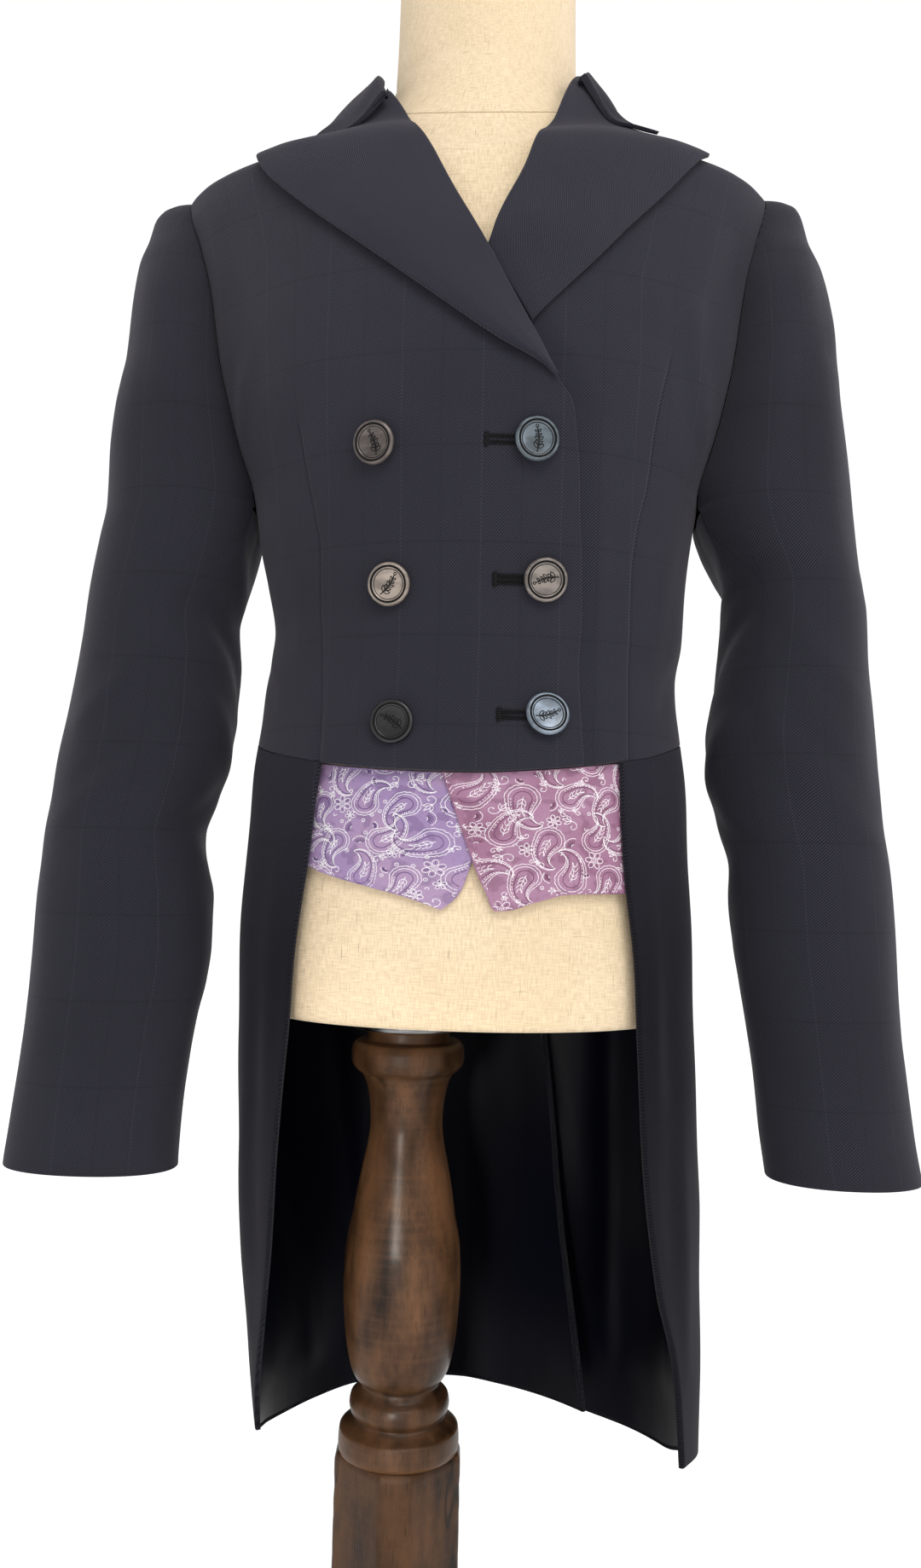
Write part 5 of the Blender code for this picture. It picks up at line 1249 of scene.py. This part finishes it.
class Nodes:
    """Short hand for wiring one node tree."""

    def __init__(self, tree):
        self.tree = tree

    def link(self, socket, value):
        """Joins an input to another node's output, or gives it a value."""
        if isinstance(value, bpy.types.NodeSocket):
            self.tree.links.new(value, socket)
        else:
            socket.default_value = value

    def add(self, kind, inputs=None, **props):
        node = self.tree.nodes.new(kind)
        for key, value in props.items():
            setattr(node, key, value)
        for key, value in (inputs or {}).items():
            self.link(node.inputs[key], value)
        return node

    def feed(self, **inputs):
        """Sets inputs of the material's shader."""
        for key, value in inputs.items():
            self.link(self.tree.nodes["Principled BSDF"].inputs[key.replace("_", " ")], value)

    def use(self, tree, **inputs):
        """Puts in a node group and gives its outputs."""
        node = self.add("ShaderNodeGroup", node_tree=tree)
        for key, value in inputs.items():
            self.link(node.inputs[key.replace("_", " ")], value)
        return list(node.outputs)

    def cloth(self):
        """Place on the flat cloth, in m."""
        return self.add("ShaderNodeUVMap", uv_map="cloth").outputs[0]

    def place(self):
        """Place in the object's own frame, in m."""
        return self.add("ShaderNodeTexCoord").outputs["Object"]

    def parts(self, vector):
        """The three numbers of a vector."""
        return self.add("ShaderNodeSeparateXYZ", {0: vector}).outputs

    def math(self, op, a, b=0.0):
        return self.add("ShaderNodeMath", {0: a, 1: b}, operation=op).outputs[0]

    def times(self, a, b):
        return self.math("MULTIPLY", a, b)

    def span(self, value, a, b, c=0.0, d=1.0, kind="SMOOTHSTEP"):
        return self.add("ShaderNodeMapRange",
                        {"Value": value, "From Min": a, "From Max": b, "To Min": c, "To Max": d},
                        interpolation_type=kind).outputs[0]

    def noise(self, vector, scale=1.0, detail=2.0, rough=0.5):
        return self.add("ShaderNodeTexNoise",
                        {"Vector": vector, "Scale": scale, "Detail": detail, "Roughness": rough}
                        ).outputs[0]

    def stretch(self, vector, scale, angle=(0, 0, 0)):
        return self.add("ShaderNodeMapping", {"Vector": vector, "Scale": scale, "Rotation": angle}).outputs[0]

    def mix(self, fac, a, b, blend="MIX"):
        """Mixes two colors by fac."""
        node = self.add("ShaderNodeMix", data_type="RGBA", blend_type=blend)
        for k, value in ((0, fac), (6, a), (7, b)):
            self.link(node.inputs[k], (*value, 1.0) if isinstance(value, tuple) else value)
        return node.outputs[2]

    def bump(self, height, strength, distance, **more):
        return self.add("ShaderNodeBump", {"Height": height, "Strength": strength, "Distance": distance,
                                           **more}
                        ).outputs[0]


def group(name, inputs, make):
    """A node group with inputs (name: default, None for a vector) and the outputs that make returns."""
    tree = bpy.data.node_groups.new(name, "ShaderNodeTree")
    for key, default in inputs.items():
        kind = "NodeSocketVector" if default is None else "NodeSocketFloat"
        socket = tree.interface.new_socket(key, in_out="INPUT", socket_type=kind)
        if default is not None:
            socket.default_value = default
    k = Nodes(tree)
    made = make(k, *list(k.add("NodeGroupInput").outputs)[:len(inputs)])
    for key in made:
        tree.interface.new_socket(key, in_out="OUTPUT", socket_type="NodeSocketFloat")
    k.add("NodeGroupOutput", made)
    return tree


def twill(k, cloth, pitch, across, along):
    """Diagonal ribs of a twill, from the rib pitch in mm and the ribs' slope."""
    x, y, _ = k.parts(cloth)
    u, v, warp = k.times(x, 1000.0), k.times(y, 1000.0), k.noise(cloth, 60.0)
    d = k.math("ADD", k.math("ADD", k.times(u, across), k.times(v, along)), k.times(warp, 1.2))
    wave = k.math("SINE", k.math("DIVIDE", k.times(d, 2 * math.pi), pitch))
    yarn = k.noise(k.stretch(cloth, (900, 2600, 1)), 1.0, 1.0)
    return {"Ribs": k.math("ADD", k.times(wave, 0.5), k.times(yarn, 0.8)),
            "Fuzz": k.noise(cloth, 2600.0, 3.0, 0.7),
            "Cloud": k.noise(cloth, 9.0, 3.0, 0.6)}


def windowpane(k, cloth, shift_across, shift_up):
    """Faint windowpane: dark lines both ways and a pale dotted pinstripe between the upright ones."""
    x, y, _ = k.parts(cloth)
    u = k.math("SUBTRACT", k.times(x, 1000.0), shift_across)
    v = k.math("SUBTRACT", k.times(y, 1000.0), shift_up)
    up = k.span(k.math("PINGPONG", u, 21.0), 0.25, 0.75, 1.0, 0.0)
    level = k.span(k.math("PINGPONG", v, 23.85), 0.3, 0.9, 1.0, 0.0)
    pin = k.span(k.math("PINGPONG", k.math("SUBTRACT", u, 21.0), 21.0), 0.12, 0.38, 1.0, 0.0)
    dots = k.span(k.math("PINGPONG", v, 0.95), 0.35, 0.6)
    return {"Dark": k.math("MAXIMUM", k.times(up, 0.7), level), "Pale": k.times(pin, dots)}


def plain_weave(k, cloth):
    """Plain weave of slubbed yarn."""
    a, b = [k.noise(k.stretch(cloth, q)) for q in ((160, 2200, 1), (2200, 160, 1))]
    s1 = k.span(k.noise(k.stretch(cloth, (70, 1000, 1)), 1.0, 3.0, 0.6), 0.64, 0.75)
    s2 = k.span(k.noise(k.stretch(cloth, (1100, 60, 1)), 1.0, 3.0, 0.6), 0.62, 0.73)
    return {"Weave": k.math("ADD", a, b), "Slub": k.math("MAXIMUM", s1, s2),
            "Cloud": k.noise(cloth, 14.0, 3.0)}


def grain(k, place):
    """Walnut along Z: broad figure, fine pores and turning marks."""
    sway = k.add("ShaderNodeTexNoise", {"Vector": k.stretch(place, (8, 8, 3)), "Scale": 1.0,
                                        "Detail": 2.0}).outputs[1]
    sway = k.add("ShaderNodeVectorMath", {0: sway, 1: (0.02, 0.02, 0.0)}, operation="MULTIPLY").outputs[0]
    bend = k.add("ShaderNodeVectorMath", {0: place, 1: sway}, operation="ADD").outputs[0]
    return {"Figure": k.noise(k.stretch(bend, (90, 90, 6)), 1.0, 4.0, 0.6),
            "Pores": k.span(k.noise(k.stretch(place, (1500, 1500, 55)), 1.0, 2.0, 0.6), 0.58, 0.74),
            "Rings": k.noise(k.stretch(place, (14, 14, 420)), 1.0, 3.0, 0.6)}


TWILL = group("twill weave", {"Cloth": None, "Pitch": 1.2, "Across": 0.77, "Along": -0.64}, twill)
CHECK = group("windowpane", {"Cloth": None, "Shift Across": 0.0, "Shift Up": 0.0}, windowpane)
LINEN = group("linen weave", {"Cloth": None}, plain_weave)
WOOD = group("walnut grain", {"Place": None}, grain)

NAVY = (0.0215, 0.0210, 0.0300)


def paint(name, color, rough, **extra):
    """A new material with its shader's own values, and the helper that wires it."""
    mat = bpy.data.materials.new(name)
    mat.use_nodes = True
    k = Nodes(mat.node_tree)
    k.feed(Base_Color=(*color, 1.0), Roughness=rough, **extra)
    return mat, k


def shade(color, f):
    """A color times f, no channel over 1."""
    return tuple(min(c * f, 1) for c in color)


def wool(name, slope, shift=(0.0, 0.0), tone_with_painted_light=1.0, check=1.0, pitch=1.15, gloss=0.11, sheen=0.1, fade=0.0):
    """Fine wool twill with the faint check; slope is the ribs' angle in degrees from level, tone the cloth's
    brightness on each piece, painted shade below 1 and painted light above 1, fade painted shade: how far the
    cloth darkens below the waist seam."""
    base, a = shade(NAVY, tone_with_painted_light), math.radians(slope)
    mat, k = paint(name, base, 0.82, Sheen_Weight=sheen, Sheen_Roughness=0.5,
                   Sheen_Tint=(0.95, 0.9, 1.0, 1.0),
                   Specular_IOR_Level=gloss)
    cloth = k.cloth()
    ribs, fuzz, cloud = k.use(TWILL, Cloth=cloth, Pitch=pitch, Across=math.sin(a), Along=-math.cos(a))
    dark, pale = k.use(CHECK, Cloth=cloth, Shift_Across=shift[0], Shift_Up=shift[1])
    c = k.mix(k.span(ribs, -0.1, 1.0, 0, 1, "LINEAR"), shade(base, 0.3), shade(base, 2.1))
    c = k.mix(k.span(cloud, 0.3, 0.7, 0.0, 0.35), c, shade(base, 0.72))
    c = k.mix(k.times(dark, 0.2 * check), c, shade(base, 0.3))
    c = k.mix(k.times(pale, 0.12 * check), c, (0.16, 0.16, 0.2))
    if fade:
        # painted shade: the cloth darkens towards the bottom, from the waist seam down to 0.54 m
        c = k.mix(k.span(k.parts(k.place())[2], 0.54, 0.695, fade, 0.0), c, (0.2, 0.2, 0.2), "MULTIPLY")
    height = k.math("ADD", k.times(ribs, 0.8), k.times(fuzz, 0.5))
    k.feed(Base_Color=c, Normal=k.bump(height, 0.55, 0.00022),
           Roughness=k.span(fuzz, 0.2, 0.8, 0.74, 0.9, "LINEAR"))
    return mat


def satin(name, base, rough=0.36):
    """Black lining satin: very fine threads and a long soft gloss."""
    mat, k = paint(name, base, rough, Sheen_Weight=0.005, Sheen_Roughness=0.3, Specular_IOR_Level=0.11)
    cloth = k.cloth()
    threads, slow = k.noise(k.stretch(cloth, (3200, 180, 1))), k.noise(k.stretch(cloth, (26, 9, 1)), 1.0, 3.0)
    k.feed(Normal=k.bump(slow, 0.35, 0.0022, Normal=k.bump(threads, 0.25, 0.00008)),
           Roughness=k.span(threads, 0.3, 0.7, rough - 0.05, rough + 0.08, "LINEAR"),
           Base_Color=k.mix(k.span(slow, 0.35, 0.65), shade(base, 0.7), shade(base, 1.3)))
    return mat


def jacquard_ground(name, a, b, deep):
    """Ground of the woven points: a satin in two near colours that change in soft clouds, with floats."""
    mat, k = paint(name, a, 0.42, Sheen_Weight=0.3, Sheen_Roughness=0.35, Specular_IOR_Level=0.55)
    cloth = k.cloth()
    floats, figure = k.noise(k.stretch(cloth, (700, 3400, 1))), k.noise(cloth, 150.0, 1.0)
    c = k.mix(k.span(k.noise(cloth, 26.0), 0.4, 0.6), a, b)
    c = k.mix(k.span(figure, 0.5, 0.62, 0.0, 0.4), c, deep)
    c = k.mix(k.span(floats, 0.35, 0.7, 0.0, 0.22), c, deep)
    k.feed(Base_Color=c, Normal=k.bump(floats, 0.5, 0.0001), Roughness=k.span(figure, 0.4, 0.6, 0.36, 0.5))
    return mat


def thread(name, color, rough=0.5, sheen=0.3):
    """Twisted thread: fine slanting ply marks."""
    mat, k = paint(name, color, rough, Sheen_Weight=sheen, Sheen_Roughness=0.4,
                   Specular_IOR_Level=0.2 if sheen < 0.1 else 0.5)
    ply = k.noise(k.stretch(k.place(), (1900, 1900, 2600), (0.4, 0.5, 0.3)))
    k.feed(Base_Color=k.mix(k.span(ply, 0.35, 0.65), shade(color, 0.72), shade(color, 1.2)),
           Normal=k.bump(ply, 0.4, 0.0001))
    return mat


def linen(name):
    """Natural linen stretched on the form: cream with darker slubs lying both ways."""
    mat, k = paint(name, (0.80, 0.64, 0.41), 0.9, Sheen_Weight=0.15, Specular_IOR_Level=0.25)
    weave, slub, cloud = k.use(LINEN, Cloth=k.cloth())
    c = k.mix(k.span(cloud, 0.35, 0.65), (0.85, 0.69, 0.485), (0.80, 0.645, 0.435))
    c = k.mix(k.span(weave, 0.85, 1.15, 0.0, 0.5, "LINEAR"), c, (0.54, 0.40, 0.24))
    c = k.mix(k.times(slub, 0.62), c, (0.28, 0.185, 0.10))
    k.feed(Base_Color=c, Normal=k.bump(weave, 0.6, 0.0003), Roughness=k.span(weave, 0.8, 1.2, 0.84, 0.95))
    return mat


def walnut(name, worn, tone_with_painted_light=1.0, coat=0.35, split=0.0):
    """Stained walnut under worn varnish: worn is how much pale wood shows, split how dark its cracks are."""
    deep, mid, pale = [shade(q, tone_with_painted_light) for q in ((0.012, 0.0055, 0.0025), (0.040, 0.0185, 0.0078),
                                                (0.200, 0.095, 0.042))]
    mat, k = paint(name, mid, 0.4, Coat_Weight=coat, Coat_Roughness=0.28, Specular_IOR_Level=0.14)
    place = k.place()
    figure, pores, rings = k.use(WOOD, Place=place)
    c = k.mix(k.span(figure, 0.32, 0.68), deep, mid)
    c = k.mix(k.times(k.span(rings, 0.40, 0.70), 0.14), c, pale)
    patch = k.noise(k.stretch(place, (34, 34, 13)), 1.0, 4.0, 0.65)
    c = k.mix(k.times(k.span(patch, 0.34, 0.74), worn), c, pale)
    c = k.mix(k.times(pores, 0.75), c, (0.006, 0.003, 0.002))
    crack = k.noise(k.stretch(place, (21, 21, 4)), 1.0, 3.0)
    crack = k.math("ABSOLUTE", k.math("SUBTRACT", crack, 0.56))
    c = k.mix(k.span(crack, 0.0, 0.012, split, 0.0), c, (0.005, 0.003, 0.002))
    # Painted shade: the wood turns near black in its hollows; its sharp arrises turn pale, rubbed wear.
    hollow_shade_and_edge_wear = k.add("ShaderNodeNewGeometry").outputs["Pointiness"]
    c = k.mix(k.span(hollow_shade_and_edge_wear, 0.42, 0.485, 0.75, 0.0), c, (0.008, 0.004, 0.002))
    c = k.mix(k.span(hollow_shade_and_edge_wear, 0.515, 0.56, 0.0, 0.45), c, pale)
    height = k.math("SUBTRACT", k.times(rings, 0.12), k.times(pores, 0.5))
    k.feed(Base_Color=c, Normal=k.bump(height, 0.35, 0.0006), Roughness=k.span(patch, 0.35, 0.7, 0.3, 0.52))
    return mat


def horn(name, color):
    """Dark polished button plastic with a silky face and faint swirls; its colour carries the painted
    reflection, on button_3 the painted shade, that each button shows.
    """
    mat, k = paint(name, color, 0.3, Specular_IOR_Level=0.7, Coat_Weight=0.3, Coat_Roughness=0.28,
                   Metallic=0.35)
    place = k.place()
    swirl, fine = k.noise(k.stretch(place, (90, 90, 200)), 1.0, 3.0), k.noise(place, 2200.0)
    k.feed(Base_Color=k.mix(k.span(swirl, 0.35, 0.65), shade(color, 0.65), shade(color, 1.35)),
           Roughness=k.span(fine, 0.3, 0.7, 0.27, 0.38), Normal=k.bump(fine, 0.06, 0.0001))
    return mat


def steel(name):
    """Brushed steel: fine level scratches in roughness and color."""
    mat, k = paint(name, (0.2, 0.2, 0.2), 0.35, Metallic=1.0)
    brush = k.noise(k.stretch(k.place(), (60, 60, 2400)))
    k.feed(Roughness=k.span(brush, 0.3, 0.7, 0.22, 0.42),
           Base_Color=k.mix(k.span(brush, 0.3, 0.7), (0.14, 0.14, 0.14), (0.26, 0.26, 0.26)))
    return mat


# The object

LINING = satin("lining satin", (0.0010, 0.0012, 0.0034))
BODY_WOOL = wool("body twill", 47, (-14.6, 22.1))
# The sleeves' cloth is the body's cloth painted darker: painted shade.
ARM_WOOL_PAINTED_SHADE = wool("sleeve twill painted shade", 40, (9.0, 14.0), 0.86)
# The tails' cloth is the body's cloth painted darker, and darker still towards the hem: painted shade.
TAIL_WOOL_PAINTED_SHADE = wool("tail twill painted shade", 52, (-6.0, 9.0), 0.85, 0.8, 1.15, 0.06, 0.05, 0.78)
front("right", RIGHT_EDGE, DART_RIGHT, BODY_WOOL)
front("left", LEFT_EDGE, DART_LEFT, BODY_WOOL)
for side, sleeve in (("right", SLEEVE_RIGHT), ("left", SLEEVE_LEFT)):
    back(side, BODY_WOOL)
    sleeve_top(side, sleeve, ARM_WOOL_PAINTED_SHADE)
    sleeve_under(side, sleeve, ARM_WOOL_PAINTED_SHADE)
    tail(side, TAIL_WOOL_PAINTED_SHADE, LINING)
# The lapels' cloth is painted lighter, painted light, and the collar's darker, painted shade.
lapel("right", LAPEL_RIGHT, TOP_RIGHT, wool("right lapel twill painted light", 84, (0, 0), 1.12, 0.0, 0.95))
lapel("left", LAPEL_LEFT, TOP_LEFT, wool("left lapel twill painted light", 118, (0, 0), 1.05, 0.0, 0.95))
collar(wool("collar twill painted shade", 60, (0, 0), 0.85, 0.0, 1.0))

# Seed of the design, the ground's two colours, the deep thread and the pale thread of each point
POINTS = {"right": (71, (0.33, 0.225, 0.42), (0.40, 0.265, 0.43), (0.11, 0.052, 0.17), (0.93, 0.86, 0.93)),
          "left": (83, (0.33, 0.15, 0.25), (0.385, 0.20, 0.315), (0.14, 0.035, 0.09), (0.93, 0.81, 0.88))}
for side, (seed, a, b, deep, light) in POINTS.items():
    obj, grid = point(side, jacquard_ground("point ground " + side, a, b, deep))
    pale = thread("pale weft " + side, light, 0.45)
    figure = thread("deep weft " + side, deep, 0.5)
    trim = [jacquard(side, seed, [pale, figure]), edge_stitches(side, thread("edge thread " + side, b, 0.5))]
    cloth_piece("point_" + side, obj, grid)

INK_AND_SLIT_SHADE = thread("engraving black and slit shade", (0.003, 0.003, 0.003), 0.55, 0.0)
BLACK_THREAD = thread("buttonhole twist", (0.0022, 0.0022, 0.003), 0.4, 0.02)
# Each button's own colour holds its painted reflection of the room, and button_3's near black its painted
# shade.
for name, (x, z, turn, lean, color) in BUTTONS.items():
    button(name, x, z, turn, lean, horn(name + " horn", color), INK_AND_SLIT_SHADE)
for number, (x0, x1, z) in enumerate(HOLES, 1):
    buttonhole(number, x0, x1, z, BLACK_THREAD, INK_AND_SLIT_SHADE)

dress_form(linen("form linen"), thread("seam shade", (0.30, 0.20, 0.11), 0.8, 0.02))
turned_piece("form_plate_turned", "form_plate",
             [(30, 523.3), (31.4, 523.5), (32, 524.6), (32, 532.0), (31.7, 532.7)],
             72, steel("plate steel"))
# The post's and the block's low tones darken their walnut: painted shade where they stand below the coat.
turned_piece("stand_post", "post", POST, 96, walnut("post walnut painted shade", 0.8, 0.66, 0.1, 0.25), 0.12)
block(walnut("block walnut painted shade", 0.8, 0.52, 0.0, 0.85))
turned_piece("stand_foot", "stand_base", [(168, 0), (174, 0), (178.6, 1.6), (180, 5), (180, 20.5),
                                          (178.5, 24),
                                          (173, 27), (166, 28), (34, 28)],
             128, walnut("base walnut", 0.35, 0.8), 0, 4.0)


# Room, light and camera

def area_light(name, place, target, size, power, color=(1, 1, 1), spread=180):
    """A lamp at a place in m, turned to its target."""
    data = bpy.data.lights.new(name, "AREA")
    data.shape, data.size, data.size_y = "RECTANGLE", size[0], size[1]
    data.energy, data.color, data.spread = power, color, math.radians(spread)
    lamp = bpy.data.objects.new(name, data)
    bpy.context.scene.collection.objects.link(lamp)
    lamp.location = place
    lamp.rotation_euler = (Vector(target) - Vector(place)).to_track_quat("-Z", "Y").to_euler()


# The floor lies 0.6 mm below the foot; its glow lifts it to the backdrop's white
FLOOR_HALF, FLOOR_Z = 30.0, -0.0006
FLOOR_CORNERS = ((-1, -1), (1, -1), (1, 1), (-1, 1))
floor_mesh = bpy.data.meshes.new("floor")
floor_mesh.from_pydata([(x * FLOOR_HALF, y * FLOOR_HALF, FLOOR_Z) for x, y in FLOOR_CORNERS],
                       [], [(0, 1, 2, 3)])
floor_mesh.materials.append(paint("floor paint", (0.9, 0.9, 0.9), 0.9, Emission_Color=(1.0, 1.0, 1.0, 1.0),
                                  Emission_Strength=0.35)[0])
floor = bpy.data.objects.new("floor", floor_mesh)
bpy.context.scene.collection.objects.link(floor)

world = bpy.data.worlds.new("studio")
bpy.context.scene.world = world
world.use_nodes = True
sky = Nodes(world.node_tree)
facing = sky.parts(sky.add("ShaderNodeTexCoord").outputs["Generated"])[1]
background = world.node_tree.nodes["Background"]
background.inputs[0].default_value = (1.0, 1.0, 1.0, 1.0)
sky.link(background.inputs[1], sky.span(facing, -0.25, 0.1, 0.5, 1.02))
area_light("window", (0.45, -1.5, 2.3), (0.03, 0, 0.85), (1.3, 0.9), 22, (1.0, 0.98, 0.95))
area_light("fill", (2.1, -1.9, 1.6), (0.03, 0, 0.85), (1.1, 1.1), 13, (0.96, 0.97, 1.0))
area_light("low front", (-0.22, -1.3, 0.46), (0, 0, 0.36), (0.2, 0.3), 0.16, (1.0, 0.95, 0.88), 15)

# The photograph's viewpoint: 0.7 m in front, turned 3 degrees, tipped 3.7 up and rolled 1.3, with a
# focal length of 1400 px
EYE = np.array([63.6, -699.3, 620.0]) * MM
FOCAL_PX, IMAGE_HEIGHT, SENSOR = 1400.0, 1839.0, 36.0
yaw, tip, roll = math.radians(3.0), math.radians(3.7), math.radians(1.3)
right = np.array([math.cos(yaw), math.sin(yaw), 0])
ahead = np.array([-math.sin(yaw) * math.cos(tip), math.cos(yaw) * math.cos(tip), math.sin(tip)])
up = np.array([math.sin(yaw) * math.sin(tip), -math.cos(yaw) * math.sin(tip), math.cos(tip)])
across = right * math.cos(roll) + up * math.sin(roll)
upward = -right * math.sin(roll) + up * math.cos(roll)
data = bpy.data.cameras.new("camera")
camera = bpy.data.objects.new("camera", data)
bpy.context.scene.collection.objects.link(camera)
axes = np.stack([across, upward, -ahead], 1).tolist()
camera.matrix_world = Matrix([[*row, e] for row, e in zip(axes, EYE)] + [[0, 0, 0, 1]])
data.sensor_fit, data.sensor_height, data.clip_start = "VERTICAL", SENSOR, 0.01
data.lens = FOCAL_PX / IMAGE_HEIGHT * SENSOR
bpy.context.scene.camera = camera
bpy.context.scene.view_settings.view_transform = "Standard"
